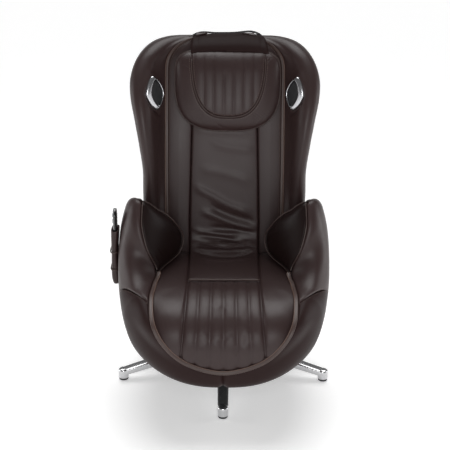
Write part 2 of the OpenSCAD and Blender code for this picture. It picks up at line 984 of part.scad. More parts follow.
star_base();
glide_pads();
swivel_housing();
swivel_bearing();
swivel_spindle();
mount_plate();
plate_bolts();
seat_side_rails();
seat_cross_tubes();
recline_brackets();
recline_pins();
tub_left();
tub_right();
tub_front();
tub_rear();
arm_pad_left();
arm_pad_right();
seat_cushion();
seat_board();
underside_cover();
control_box();
air_pump();
hip_airbags();
vibration_motor();
power_panel();
power_inlet();
rocker_switch();
actuator_bracket();
actuator_body();
actuator_rod();
remote_pocket();
remote_shell();
for (i = [1 : 4])
    remote_button(i - 1);
back_side_rails();
back_cross_tubes();
back_brackets();
recline_bushes();
guide_rods();
screw_motor();
lead_screw();
back_shell();
wing_left();
wing_right();
back_pad();
speaker_bezels();
speaker_grilles();
speaker_drivers();
handle_strap();
carriage_plate();
knead_motor();
knead_shaft();
massage_arms();
upper_rollers();
lower_rollers();
head_pillow();
pillow_flap();
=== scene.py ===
import json
import math

import bmesh
import bpy
from mathutils import Matrix, Vector
import numpy as np


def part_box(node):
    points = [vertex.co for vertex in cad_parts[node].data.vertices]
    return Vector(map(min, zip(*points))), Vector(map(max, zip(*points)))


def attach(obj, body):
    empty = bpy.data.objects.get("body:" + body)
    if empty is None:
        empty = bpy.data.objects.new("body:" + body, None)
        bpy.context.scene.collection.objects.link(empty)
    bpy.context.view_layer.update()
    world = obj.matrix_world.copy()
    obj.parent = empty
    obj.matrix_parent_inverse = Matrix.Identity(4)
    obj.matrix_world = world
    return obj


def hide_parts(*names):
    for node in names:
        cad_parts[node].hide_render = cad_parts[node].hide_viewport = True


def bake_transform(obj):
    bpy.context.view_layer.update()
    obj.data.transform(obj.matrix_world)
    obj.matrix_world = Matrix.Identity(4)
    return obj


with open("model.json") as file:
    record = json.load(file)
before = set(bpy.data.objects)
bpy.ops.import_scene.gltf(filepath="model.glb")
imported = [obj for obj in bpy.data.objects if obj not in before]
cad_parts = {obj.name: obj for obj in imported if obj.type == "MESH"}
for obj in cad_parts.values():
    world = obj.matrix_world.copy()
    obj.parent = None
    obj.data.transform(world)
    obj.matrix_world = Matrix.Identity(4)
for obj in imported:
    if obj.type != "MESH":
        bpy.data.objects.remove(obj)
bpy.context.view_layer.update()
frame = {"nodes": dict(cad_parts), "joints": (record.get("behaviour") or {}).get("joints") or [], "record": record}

MM = 0.001   # shapes are worked out in millimetres; every object is made in metres


# ---------------------------------------------------------------- sizes, from the frame

def node_box(node):
    """Lowest and highest corner of a CAD node, in millimetres."""
    low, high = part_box(node)
    return np.array(low) / MM, np.array(high) / MM


SEAT_LOW, SEAT_HIGH = node_box("seat_cushion")
PILLOW_LOW, PILLOW_HIGH = node_box("head_pillow")
HOUSING_LOW, HOUSING_HIGH = node_box("swivel_housing")
GLIDE_LOW, GLIDE_HIGH = node_box("glide_pads")
REMOTE_LOW, REMOTE_HIGH = node_box("remote_shell")
POUCH_LOW, POUCH_HIGH = node_box("remote_pocket")
STRAP_LOW, STRAP_HIGH = node_box("handle_strap")
BEZEL_LOW, BEZEL_HIGH = node_box("speaker_bezels")

PIVOT = next(np.array(j["pos_m"]) / MM for j in frame["joints"] if j["name"] == "recline")
AXIS_Y = (HOUSING_LOW[1] + HOUSING_HIGH[1]) / 2

TUB_HALF_W = abs(node_box("tub_left")[0][0])
TUB_FRONT_LEN = 335
TUB_REAR_LEN = 340
TUB_MID_Y = -70
TUB_MID_Z = 430
TUB_DROP = 292
TUB_RISE = 359
TUB_HEM_Z = node_box("underside_cover")[1][2] - 1

SEAT_HALF_W = SEAT_HIGH[0]
SEAT_TOP = SEAT_HIGH[2]
SEAT_FRONT_Y = SEAT_LOW[1] - 1
SEAT_RIM_Z = 404
SEAT_HEM_Z = 217

SEAM_X = 190
CROWN_REACH = 22    # how quickly a panel's crown rises from its seams
CLOTH_ROWS, CLOTH_COLUMNS = 56, 48
CLOTH_FRAMES = 20
CLOTH_SETTINGS = {"quality": 5, "mass": 0.3, "tension_stiffness": 12, "compression_stiffness": 12,
                  "bending_stiffness": 0.4, "vertex_group_mass": "held", "use_pressure": True,
                  "uniform_pressure_force": 4.0}


# ---------------------------------------------------------------- curves and grids

def bulge(t, p):
    """Superellipse quarter: 1 at t = 0, 0 at |t| = 1."""
    return (1 - np.minimum(1, np.abs(t)) ** p) ** (1 / p)


def power(v, p):
    """A sine or cosine bent for a superellipse of exponent p."""
    return np.sign(v) * np.abs(v) ** (2 / p)


def ease(t):
    t = np.clip(t, 0, 1)
    return t * t * (3 - 2 * t)


def lerp(a, b, t):
    return a + (b - a) * t


def run_along(points, bent=1):
    """Distance along a polyline at each of its points; bent raises each step to a power."""
    steps = np.linalg.norm(np.diff(points[:, :3], axis=0), axis=1)
    return np.concatenate([[0], np.cumsum(steps ** bent)])


def even(points, count):
    """count points at equal distances along a polyline; extra columns ride along."""
    p = np.asarray(points, float)
    run = run_along(p)
    at = np.linspace(0, run[-1], count)
    return np.stack([np.interp(at, run, p[:, k]) for k in range(p.shape[1])], axis=1)


def hermite(p, slope, k, u, h=1.0):
    """The point a share u of the way from p[k] to p[k + 1], on the smooth curve with these slopes."""
    return (
        (1 + 2 * u) * (1 - u) ** 2 * p[k] + u * (1 - u) ** 2 * h * slope[k]
        + u * u * (3 - 2 * u) * p[k + 1] + u * u * (u - 1) * h * slope[k + 1]
    )


def through(points, count):
    """count points at equal distances along a smooth curve through the given points."""
    p = np.asarray(points, float)
    if len(p) < 3:
        return even(p, count)
    t = run_along(p, 0.6)
    slope = np.gradient(p, t, axis=0)
    s = np.linspace(0, t[-1], 16 * len(p))
    k = np.clip(np.searchsorted(t, s, side="right") - 1, 0, len(t) - 2)
    h = (t[k + 1] - t[k])[:, None]
    u = (s - t[k])[:, None] / h
    return even(hermite(p, slope, k, u, h), count)


def bezier(p0, p1, p2, p3, count):
    t = np.linspace(0, 1, count)[:, None]
    return (1 - t) ** 3 * p0 + 3 * t * (1 - t) ** 2 * p1 + 3 * t * t * (1 - t) * p2 + t ** 3 * p3


def refine_rows(grid, rows):
    """The grid with more rows, on smooth curves down its columns."""
    n = len(grid)
    at = np.linspace(0, n - 1, rows)
    k = np.clip(at.astype(int), 0, n - 2)
    return hermite(grid, np.gradient(grid, axis=0), k, (at - k)[:, None, None])


def refine(grid, rows, columns):
    """The grid with this many rows and columns, on smooth curves both ways."""
    return refine_rows(refine_rows(grid, rows).transpose(1, 0, 2), columns).transpose(1, 0, 2)


def unit(v):
    return v / np.maximum(np.linalg.norm(v, axis=-1, keepdims=True), 1e-9)


def grid_normals(grid):
    return unit(np.cross(np.gradient(grid, axis=1), np.gradient(grid, axis=0)))


def mirrored(points):
    return np.asarray(points) * np.array([-1, 1, 1])


# ---------------------------------------------------------------- mesh makers

def add_object(name, data):
    thing = bpy.data.objects.new(name, data)
    bpy.context.scene.collection.objects.link(thing)
    return thing


def add_mesh(name, points, faces):
    mesh = bpy.data.meshes.new(name)
    mesh.from_pydata((np.asarray(points, float).reshape(-1, 3) * MM).tolist(), [], faces)
    mesh.validate()
    mesh.update()
    mesh.shade_smooth()
    return add_object(name, mesh)


def grid_faces(rows, columns, start=0, flip=False, wrap=False):
    faces = []
    for j in range(rows - 1):
        for i in range(columns if wrap else columns - 1):
            k = (i + 1) % columns
            face = [start + j * columns + i, start + j * columns + k,
                    start + (j + 1) * columns + k, start + (j + 1) * columns + i]
            faces.append(face[::-1] if flip else face)
    return faces


def face_outward(piece):
    """Turns all faces outward on a closed piece."""
    bm = bmesh.new()
    bm.from_mesh(piece.data)
    bmesh.ops.remove_doubles(bm, verts=bm.verts, dist=0.00002)
    bmesh.ops.recalc_face_normals(bm, faces=bm.faces)
    bm.to_mesh(piece.data)
    bm.free()
    return piece


def border_distance(grid, sides):
    """Each point's distance from the nearest of the named sides: u, d rows, l, r columns."""
    across = np.concatenate([np.zeros((len(grid), 1)),
                             np.cumsum(np.linalg.norm(np.diff(grid, axis=1), axis=2), axis=1)], axis=1)
    along = np.concatenate([np.zeros((1, grid.shape[1])),
                            np.cumsum(np.linalg.norm(np.diff(grid, axis=0), axis=2), axis=0)], axis=0)
    far = np.full(grid.shape[:2], 1e6)
    choices = {"l": across, "r": across[:, -1:] - across, "u": along, "d": along[-1:] - along}
    for side in sides:
        far = np.minimum(far, choices[side])
    return far


def swollen(front, back, cap):
    """Where air pressure moves the front of a cloth bag, simulated on a coarse copy of two grids.
    The bag is held round its seams and over its back; cap is the furthest a point may move."""
    coarse = [refine(g, CLOTH_ROWS, CLOTH_COLUMNS) for g in (front, back)]
    total = CLOTH_ROWS * CLOTH_COLUMNS
    faces = (grid_faces(CLOTH_ROWS, CLOTH_COLUMNS) + grid_faces(CLOTH_ROWS, CLOTH_COLUMNS, total, True)
             + rim_faces(CLOTH_ROWS, CLOTH_COLUMNS))
    bag = face_outward(add_mesh("cloth_bag", np.concatenate([g.reshape(-1, 3) for g in coarse]), faces))
    at_seam = border_distance(coarse[0], "lrud").ravel() == 0
    held = [int(i) for i in np.nonzero(at_seam)[0]] + list(range(total, 2 * total))
    bag.vertex_groups.new(name="held").add(held, 1.0, "REPLACE")
    cloth = bag.modifiers.new("cloth", "CLOTH")
    for key, value in CLOTH_SETTINGS.items():
        setattr(cloth.settings, key, value)
    cloth.settings.effector_weights.gravity = 0
    scene = bpy.context.scene
    for frame_number in range(1, CLOTH_FRAMES + 1):
        scene.frame_set(frame_number)
    done = bag.evaluated_get(bpy.context.evaluated_depsgraph_get()).data
    moved = np.array([v.co for v in done.vertices])[:total] / MM - coarse[0].reshape(-1, 3)
    bpy.data.objects.remove(bag)
    scene.frame_set(1)
    far = np.maximum(np.linalg.norm(moved, axis=1, keepdims=True), 1e-6)
    moved = moved / far * cap * np.tanh(far / cap)
    print("cloth moved", round(float(far.max()), 1), "mm, kept to", cap)
    return refine(moved.reshape(coarse[0].shape), front.shape[0], front.shape[1])


def rim_faces(rows, columns):
    """Faces that join a front grid to the back grid numbered after it."""
    count = rows * columns
    ring = ([i for i in range(columns)] + [j * columns + columns - 1 for j in range(1, rows)]
            + [(rows - 1) * columns + i for i in range(columns - 2, -1, -1)]
            + [j * columns for j in range(rows - 2, 0, -1)])
    return [[b, a, a + count, b + count] for a, b in zip(ring, ring[1:] + ring[:1])]


def panel(name, grid, outward, thick=9, roll=6, crown=0, detail=None, fixed=False, swell=0, mask=None):
    """A closed upholstered panel: its face is crowned and its edges roll down into the seams.
    roll is one radius, or one for each side that rolls: l and r columns, u and d rows.
    thick is one thickness or one for each point; fixed offsets every point along outward.
    swell is how far simulated cloth may blow the face out, and mask scales that at each point."""
    grid = np.asarray(grid, float)
    normal = grid_normals(grid)
    middle = normal[len(grid) // 2, grid.shape[1] // 2]
    if np.dot(middle, outward) < 0:
        normal = -normal
    if fixed:
        normal = np.broadcast_to(unit(np.asarray(outward, float)), grid.shape)
    thick = np.broadcast_to(np.asarray(thick, float), grid.shape[:2])
    rolls = roll if isinstance(roll, dict) else {side: roll for side in "lrud"}
    drop = np.zeros(grid.shape[:2])
    for side, radius in rolls.items():
        near = np.minimum(1, border_distance(grid, side) / radius)
        drop = np.maximum(drop, thick * 0.85 * (1 - np.sqrt(1 - (1 - near) ** 2)))
    lift = crown * (1 - np.exp(-border_distance(grid, "".join(rolls)) / CROWN_REACH)) - drop
    if detail is not None:
        lift = lift + detail(grid)
    face = grid + normal * lift[..., None]
    back = grid - normal * thick[..., None]
    if swell:
        puff = swollen(grid, back, swell)
        face = face + puff * (1 if mask is None else mask(grid)[..., None])
    rows, columns = grid.shape[:2]
    count = rows * columns
    faces = grid_faces(rows, columns) + grid_faces(rows, columns, count, True) + rim_faces(rows, columns)
    return face_outward(add_mesh(name, np.concatenate([face.reshape(-1, 3), back.reshape(-1, 3)]), faces))


def tube(name, points, radius, sides=8, closed=False):
    """A tube along a polyline, drawn in at its ends unless it is closed."""
    p = np.asarray(points, float)
    tangent = unit(np.roll(p, -1, 0) - np.roll(p, 1, 0)) if closed else unit(np.gradient(p, axis=0))
    up = np.array([0.0, 0.0, 1.0]) if abs(tangent[0][2]) < 0.9 else np.array([1.0, 0.0, 0.0])
    rings = []
    side = unit(np.cross(tangent[0], up))
    for i in range(len(p)):
        side = unit(side - tangent[i] * np.dot(side, tangent[i]))
        other = np.cross(tangent[i], side)
        size = radius if closed or 0 < i < len(p) - 1 else radius * 0.35
        a = np.arange(sides) * 2 * math.pi / sides
        rings.append(p[i] + size * (np.cos(a)[:, None] * side + np.sin(a)[:, None] * other))
    grid = np.array(rings)
    if closed:
        grid = np.concatenate([grid, grid[:1]])
    faces = grid_faces(len(grid), sides, wrap=True)
    if not closed:
        faces += [list(range(sides))[::-1], [(len(grid) - 1) * sides + i for i in range(sides)]]
    return face_outward(add_mesh(name, grid.reshape(-1, 3), faces))


def band(name, path, towards, width, thick):
    """A flat strip with rounded edges along a path; towards is the way its face looks."""
    p = np.asarray(path, float)
    tangent = unit(np.gradient(p, axis=0))
    across = unit(np.cross(np.asarray(towards, float), tangent))
    normal = np.cross(tangent, across)
    a = np.arange(16) * math.pi / 8
    wide, high = width / 2 * power(np.cos(a), 5)[:, None], thick / 2 * power(np.sin(a), 3)[:, None]
    rings = [point + wide * c + high * n for point, c, n in zip(p, across, normal)]
    return skin(name, rings)


STITCH_PITCH = 7.5
STITCH_LENGTH = 4.6
STITCH_PROFILE = [(-0.5, 0.1), (-0.32, 0.9), (0, 1.0), (0.32, 0.9), (0.5, 0.1)]   # of length and radius
STITCH_SIDES = 5


def stitches(name, points, radius=0.7):
    """A row of thread stitches along a curve, as short capsules in one mesh."""
    count = max(2, int(run_along(points)[-1] / STITCH_PITCH))
    centres = even(points, count + 1)
    along = unit(np.gradient(centres, axis=0))
    sides, last = STITCH_SIDES, (len(STITCH_PROFILE) - 1) * STITCH_SIDES
    verts, faces = [], []
    for centre, t in zip(centres, along):
        side = unit(np.cross(t, [0.31, 0.2, 0.93]))
        other = np.cross(t, side)
        start = len(verts)
        for s, r in STITCH_PROFILE:
            for k in range(sides):
                a = 2 * math.pi * k / sides
                away = radius * r * (math.cos(a) * side + math.sin(a) * other)
                verts.append(centre + t * s * STITCH_LENGTH + away)
        faces += grid_faces(len(STITCH_PROFILE), sides, start, wrap=True)
        faces += [[start + k for k in range(sides)][::-1], [start + last + k for k in range(sides)]]
    return add_mesh(name, np.array(verts), faces)


def dress(piece, material, body, node=None):
    """Gives a piece its finish and its body, and hides the CAD node it stands for."""
    piece.data.materials.clear()
    piece.data.materials.append(material)
    if body:
        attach(piece, body)
    if node:
        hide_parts(node)


def lathe(name, profile, centre, count=32):
    """A turned solid: (radius, z) points round a vertical axis, closed where the radius is 0."""
    a = np.arange(count) * 2 * math.pi / count
    rings = [np.stack([centre[0] + r * np.cos(a), centre[1] + r * np.sin(a), np.full(count, z)], axis=1)
             for r, z in profile]
    faces = grid_faces(len(rings), count, wrap=True)
    return face_outward(add_mesh(name, np.array(rings).reshape(-1, 3), faces))


def skin(name, rings):
    """A closed solid through rings of points, with flat ends."""
    rings = np.asarray(rings, float)
    n = rings.shape[1]
    faces = grid_faces(len(rings), n, wrap=True)
    faces += [list(range(n))[::-1], [(len(rings) - 1) * n + i for i in range(n)]]
    return face_outward(add_mesh(name, rings.reshape(-1, 3), faces))


def join(name, pieces):
    """One piece made of several."""
    verts, faces = [], []
    for piece in pieces:
        start = len(verts)
        verts += [np.array(v.co) / MM for v in piece.data.vertices]
        faces += [[start + i for i in p.vertices] for p in piece.data.polygons]
        bpy.data.objects.remove(piece)
    return add_mesh(name, np.array(verts), faces)


# ---------------------------------------------------------------- materials

def srgb(r, g, b):
    """A colour given as 0 to 255 display values."""
    def linear(c):
        c /= 255
        return c / 12.92 if c <= 0.04045 else ((c + 0.055) / 1.055) ** 2.4
    return linear(r), linear(g), linear(b), 1.0


def shade(colour, factor):
    return tuple(min(1.0, c * factor) for c in colour[:3]) + (1.0,)


PATCH_SCALE = 9.0
GRAIN_TONE = {"cells": 0.22, "wood": 0.6, "holes": 0.9, "weave": 0.5}   # how far grain darkens the colour
WAVE_DISTORTION = {"lines": 0.3, "wood": 7.0, "weave": 0.0}


def surface(name, colour, roughness, metallic=0.0, vary=0.12, rough_vary=0.08, grain="fine", grain_scale=700.0,
            grain_height=0.0002, coat=0.0, sheen=0.0, wear=0.0, strength=0.35, specular=0.5):
    """A procedural finish: colour and roughness drift over the surface, and a grain gives the bump."""
    material = bpy.data.materials.new(name)
    material.use_nodes = True
    tree = material.node_tree

    def feed(node, inputs):
        for key, value in inputs.items():
            if isinstance(value, bpy.types.NodeSocket):
                tree.links.new(value, node.inputs[key])
            else:
                node.inputs[key].default_value = value
        return node.outputs

    def add(kind, inputs, **settings):
        node = tree.nodes.new("ShaderNode" + kind)
        for key, value in settings.items():
            setattr(node, key, value)
        return feed(node, inputs)

    place = add("TexCoord", {})["Object"]
    drift = add("TexNoise", {"Scale": PATCH_SCALE, "Detail": 5.0, "Roughness": 0.6, "Vector": place})["Fac"]
    tints = {0: drift, 6: shade(colour, 1 - vary), 7: shade(colour, 1 + vary)}
    toned = add("Mix", tints, data_type="RGBA")[2]

    at = {"Scale": grain_scale, "Vector": place}
    if grain == "cells":
        cells = {"Smoothness": 0.6, "Randomness": 0.95}
        height = add("TexVoronoi", at | cells, feature="SMOOTH_F1")["Distance"]
    elif grain == "holes":
        height = add("TexVoronoi", at | {"Randomness": 0.0})["Distance"]
    elif grain in WAVE_DISTORTION:
        height = add("TexWave", at | {"Distortion": WAVE_DISTORTION[grain], "Detail": 2.0},
                     bands_direction="Z" if grain == "lines" else "X")["Fac"]
    else:
        height = add("TexNoise", at | {"Detail": 4.0})["Fac"]
    if grain == "weave":
        cross = add("TexWave", at, bands_direction="Y")["Fac"]
        height = add("Math", {0: height, 1: cross}, operation="MULTIPLY")[0]

    if grain in GRAIN_TONE:
        toned = add("Mix", {0: GRAIN_TONE[grain], 6: toned, 7: height}, data_type="RGBA",
                    blend_type="MULTIPLY")[2]
    if wear:
        edges = add("MapRange", {"From Min": 0.52, "From Max": 0.62, "To Max": wear,
                                 "Value": add("NewGeometry", {})["Pointiness"]})["Result"]
        toned = add("Mix", {0: edges, 6: toned, 7: shade(colour, 2.2)}, data_type="RGBA")[2]

    gloss = add("MapRange", {"Value": drift, "To Min": max(0.02, roughness - rough_vary),
                             "To Max": min(1.0, roughness + rough_vary)})["Result"]
    bump = add("Bump", {"Strength": strength, "Distance": grain_height, "Height": height})["Normal"]
    feed(tree.nodes["Principled BSDF"], {
        "Base Color": toned, "Metallic": metallic, "Roughness": gloss, "Normal": bump,
        "Specular IOR Level": specular, "Coat Weight": coat, "Coat Roughness": 0.12, "Sheen Weight": sheen,
        "Sheen Roughness": 0.45,
    })
    return material


def leather_look(name, colour, roughness=0.42, wear=0.25, specular=0.34):
    return surface(name, colour, roughness, grain="cells", grain_scale=620, grain_height=0.0004, vary=0.10,
                   wear=wear, specular=specular)


def piping_look(name, colour, roughness=0.42, vary=0.12):
    return surface(name, colour, roughness, grain="cells", grain_scale=700, grain_height=0.0003, vary=vary)


LEATHER_COLOUR = srgb(54, 39, 38)
# The arm colour is the brown leather painted much darker: painted shade for the arms' inner faces, which sit in
# shadow.
ARM_SHADE_COLOUR = srgb(28, 17, 16)
PIPING_COLOUR = srgb(68, 50, 45)

leather = leather_look("brown_leather_grain", LEATHER_COLOUR)
# arm_leather is the leather with painted shade: darker, and with its reflection turned down.
arm_leather = leather_look("arm_painted_shade_leather", ARM_SHADE_COLOUR, 0.40, wear=0.2, specular=0.16)
# The apron's leather is the brown leather painted darker, with its reflection turned down: painted shade for the
# bucket's lower front.
shaded_apron_leather = leather_look("apron_painted_shade_leather", shade(LEATHER_COLOUR, 0.74), specular=0.07)
# The flap's leather is the brown leather painted darker, with its reflection turned down: painted shade that holds
# back the flap's top, which faces the overhead light.
shaded_flap_leather = leather_look("flap_painted_shade_leather", shade(LEATHER_COLOUR, 0.60), 0.50, specular=0.04)
piping_leather = piping_look("piping_leather_grain", PIPING_COLOUR, 0.45, 0.14)
bright_piping = piping_look("bright_piping_grain", srgb(100, 77, 67))
dark_piping = piping_look("dark_piping_grain", srgb(66, 50, 46))
thread = surface("sewing_thread", srgb(92, 74, 66), 0.6, grain="lines", grain_scale=900, vary=0.2)

SLOT_LOOKS = {
    "polished_aluminium": surface("polished_aluminium_look", (0.60, 0.60, 0.61, 1), 0.20, metallic=1.0,
                                  vary=0.04, rough_vary=0.05, grain_scale=240, grain_height=0.0001,
                                  strength=0.08),
    "rubber": surface("rubber_look", srgb(38, 38, 39), 0.72, vary=0.15, grain_scale=900),
    "black_steel": surface("black_steel_look", srgb(52, 52, 54), 0.48, vary=0.1, grain_scale=1100,
                           grain_height=0.0003),
    "bright_steel": surface("bright_steel_look", (0.62, 0.62, 0.64, 1), 0.26, metallic=1.0, vary=0.05,
                            grain="lines", grain_scale=300, strength=0.15),
    "brown_leather": leather,
    "arm_leather": arm_leather,
    "plywood": surface("plywood_look", srgb(196, 160, 112), 0.6, vary=0.14, grain="wood", grain_scale=14),
    "black_plastic": surface("black_plastic_look", srgb(44, 44, 45), 0.5, vary=0.08, grain_scale=1300,
                             grain_height=0.0003),
    "grey_motor": surface("grey_motor_look", srgb(138, 141, 143), 0.42, metallic=0.6, vary=0.1,
                          grain_scale=500),
    "webbing": surface("webbing_look", srgb(30, 29, 29), 0.75, vary=0.15, grain="weave", grain_scale=420,
                       grain_height=0.0005, sheen=0.2),
    "red_plastic": surface("red_plastic_look", srgb(150, 34, 30), 0.3, vary=0.08, grain_scale=900),
    "gloss_black": surface("gloss_black_look", srgb(24, 24, 26), 0.22, vary=0.1, grain_scale=600, coat=0.6,
                           strength=0.06),
    "silver_plastic": surface("silver_plastic_look", srgb(190, 192, 195), 0.3, metallic=0.5, vary=0.06,
                              grain_scale=900, strength=0.1),
    "brass": surface("brass_look", (0.62, 0.46, 0.2, 1), 0.3, metallic=1.0, vary=0.08, grain="lines",
                     grain_scale=300, strength=0.15),
    "chrome": surface("chrome_look", (0.56, 0.56, 0.58, 1), 0.22, metallic=1.0, vary=0.05,
                      grain_scale=400, strength=0.06),
    "black_mesh": surface("black_mesh_look", srgb(46, 46, 48), 0.6, vary=0.1, grain="holes",
                          grain_scale=520, grain_height=0.0008, strength=0.8),
    "roller_rubber": surface("roller_rubber_look", srgb(110, 84, 64), 0.65, vary=0.12, grain_scale=800),
}
for subpart in frame["record"]["subparts"]:
    cad_mesh = frame["nodes"][subpart["node"]].data
    if not cad_mesh.materials:
        cad_mesh.materials.append(None)
    for slot_index in range(len(cad_mesh.materials)):
        cad_mesh.materials[slot_index] = SLOT_LOOKS[subpart["material_slot"]]


# ---------------------------------------------------------------- bucket

# Rim stations of the left half, front centre to rear centre: x, y, z, plan angle of the wall below, shoulder
RIM_STATIONS = np.array([
    (0, -396, 217, -90, 14), (-108, -397, 247, -72, 20), (-177, -395, 307, -56, 34),
    (-213, -375, 365, -44, 52), (-224, -290, 405, -32, 70), (-220, -194, 411, -19, 76),
    (-211, -118, 430, -8, 80), (-240, -122, 504, -3.4, 74), (-257, -100, 570, -0.6, 56),
    (-258, -69, 612, 0.2, 38), (-259, -40, 632, 1.5, 28), (-288, 36, 611, 6.6, 34),
    (-298, 122, 548, 19, 34), (-288, 190, 452, 36, 34), (-228, 246, 328, 60, 30),
    (-110, 258, 305, 80, 20), (0, 262, 300, 90, 16),
], float)
LEAF_FOOT = 6       # station where the arm leaf starts
LEAF_PEAK = 10.2    # station just behind the top of the arm
REAR_SEAM = 13.9    # station of the seam between side and rear
REAR_CENTRE = 16
WALL_THICK = 9


def tub_point(z, angle):
    """The bucket's outer wall at a height and a plan angle: -90 front, 0 left side, 90 rear."""
    a = math.radians(angle)
    below = max(0, (TUB_MID_Z - z) / TUB_DROP)
    above = max(0, (z - TUB_MID_Z) / TUB_RISE)
    width = TUB_HALF_W * (bulge(below, 3.3) if below else bulge(above, 2.5))
    if angle < 0:
        p, length = 2.65, TUB_FRONT_LEN * bulge(below, 9)
    else:
        p, length = 4, TUB_REAR_LEN * bulge(below, 4)
    return np.array([-width * power(math.cos(a), p), TUB_MID_Y + length * power(math.sin(a), p), z])


def rim_at(t):
    """The rim's station row, smoothly between the stations."""
    n = len(RIM_STATIONS)
    slope = np.gradient(RIM_STATIONS, axis=0)
    slope[0, [1, 2]] = 0
    slope[-1, [1, 2]] = 0
    k = int(min(max(t, 0), n - 1.0001))
    return hermite(RIM_STATIONS, slope, k, t - k)


def rim_points(t0, t1, count):
    return even([rim_at(t)[:3] for t in np.linspace(t0, t1, 120)], count)


def bucket_section(t, rows):
    """From the rim over the padded shoulder and down the wall to the hem."""
    x, y, z, angle, drop = rim_at(t)
    start = np.array([x, y, z])
    along = unit(rim_at(t + 0.5)[:3] - rim_at(t - 0.5)[:3])
    top = z - drop
    levels = []
    if top > TUB_MID_Z:
        levels += list(np.linspace(top, TUB_MID_Z, 10)[:-1])
    low = math.asin((TUB_MID_Z - TUB_HEM_Z) / TUB_DROP)
    high = math.asin(max(0.0, (TUB_MID_Z - top) / TUB_DROP))
    levels += [TUB_MID_Z - TUB_DROP * math.sin(a) for a in np.linspace(high, low, 40)]
    wall = np.array([tub_point(level, angle) for level in levels])
    down = unit(wall[1] - wall[0])
    gap = np.linalg.norm(wall[0] - start)
    out = wall[0] - start
    out[2] = 0
    out = unit(out)
    proud = np.cross(along, out)
    proud = unit(proud * (1 if proud[2] - proud[1] > 0 else -1))
    swell = 0.45 - 0.3 * math.exp(-((t - 6.1) / 0.8) ** 2)      # flatter where the rim turns up
    shoulder = bezier(start, start + gap * 0.42 * (0.85 * out + swell * proud),
                      wall[0] - down * gap * 0.48, wall[0], 20)
    return even(np.concatenate([shoulder[:-1], wall]), rows)


BUCKET_ROWS = 84
STEPS = 12          # columns of the bucket's grid to each rim station
SMOOTH_FROM, SMOOTH_TO = 4.2, 10      # the wall is evened out where the rim turns up into the arm
SMOOTH_PASSES = 520
bucket_grid = np.array([bucket_section(i / STEPS, BUCKET_ROWS)
                        for i in range(REAR_CENTRE * STEPS + 1)])
stations = np.arange(len(bucket_grid))[:, None, None] / STEPS
softened = ease((stations - SMOOTH_FROM) / 1.4) * ease((SMOOTH_TO - stations) / 1.4)
softened = softened * ease(np.arange(BUCKET_ROWS) / 16)[None, :, None]
for _ in range(SMOOTH_PASSES):
    between = bucket_grid.copy()
    between[1:-1] = (bucket_grid[:-2] + 2 * bucket_grid[1:-1] + bucket_grid[2:]) / 4
    bucket_grid = lerp(bucket_grid, between, softened)


def on_bucket(row, t):
    """The left wall's points in one row at stations t."""
    at = np.arange(len(bucket_grid)) / STEPS
    return np.stack([np.interp(t, at, bucket_grid[:, row, k]) for k in range(3)], axis=-1)


def bucket_patch(start, end, columns):
    """A patch of the left wall between two seams, each a function from 0 at the rim to 1 at the hem."""
    shares = [j / (BUCKET_ROWS - 1) for j in range(BUCKET_ROWS)]
    return np.array([on_bucket(j, np.linspace(start(v), end(v), columns)) for j, v in enumerate(shares)])


def side_seam(v):
    return 3.9 + 2.4 * ease(v / 0.45) ** 0.9


def maybe_mirror(points, right):
    return mirrored(points) if right else np.asarray(points)


apron_patch = bucket_patch(lambda v: 0, side_seam, 70)
side_patch = bucket_patch(side_seam, lambda v: REAR_SEAM, 120)
rear_half = bucket_patch(lambda v: REAR_SEAM, lambda v: REAR_CENTRE, 44)
rear_patch = np.concatenate([rear_half, mirrored(rear_half)[:, -2::-1]], axis=1)

SIDES = (("left", False), ("right", True))      # a side's name, and whether it is the mirror image
WALL_ROLL = {"l": 5, "r": 5, "u": 7, "d": 6}

LEFT = np.array([-1, 0, 0])
RIGHT = np.array([1, 0, 0])
FRONT = np.array([0, -1, 0])
REAR = np.array([0, 1, 0])
UP = np.array([0, 0, 1])


def facing(right):
    return RIGHT if right else LEFT


for side_name, right in SIDES:
    apron = panel("bucket_apron_" + side_name, maybe_mirror(apron_patch, right), FRONT, WALL_THICK,
                  WALL_ROLL, 1.5)
    wall = panel("bucket_side_" + side_name, maybe_mirror(side_patch, right), facing(right), WALL_THICK,
                 WALL_ROLL, 2)
    dress(apron, shaded_apron_leather, "seat", node="tub_front")
    dress(wall, leather, "seat", node="tub_" + side_name)
rear_wall = panel("bucket_rear", rear_patch, REAR, WALL_THICK, WALL_ROLL, 1.5)
dress(rear_wall, leather, "seat", node="tub_rear")

INNER_WALL = 33     # from the outer wall to the arm's inner face


def arm_inner_section(t, rows):
    station = rim_at(t)
    start = station[:3]
    angle = station[3]

    def inner(z):
        p = tub_point(z, angle)
        middle = np.array([0, TUB_MID_Y, z])
        away = p - middle
        return middle + away * (1 - INNER_WALL / np.linalg.norm(away))

    top = max(start[2] - 44, 302)
    low = np.array([inner(z) for z in np.linspace(top, 296, 12)])
    gap = np.linalg.norm(low[0] - start)
    over = bezier(start, start + UP * gap * 0.25, low[0] + UP * gap * 0.5, low[0], 12)
    return even(np.concatenate([over[:-1], low]), rows)


inner_patch = np.array([arm_inner_section(t, 30) for t in np.linspace(9.9, REAR_CENTRE, 90)]).transpose(1, 0, 2)
for side_name, right in SIDES:
    lining = panel("arm_lining_" + side_name, maybe_mirror(inner_patch, right), -facing(right), 6, 4)
    # The arm linings take the darker arm leather: painted shade on the arms' inner faces.
    dress(lining, arm_leather, "seat")


# ---------------------------------------------------------------- arm leaves

LEAF_EDGE = [
    (-209, -112, 421), (-191, -65, 424), (-170, -25, 427), (-149, 12, 435), (-136, 44, 458), (-137, 46, 490),
    (-150, 30, 520), (-168, 16, 550), (-192, 2, 578), (-216, -13, 598), (-235, -26, 619), (-257, -28, 632),
]
LEAF_ROWS, LEAF_COLUMNS = 90, 60


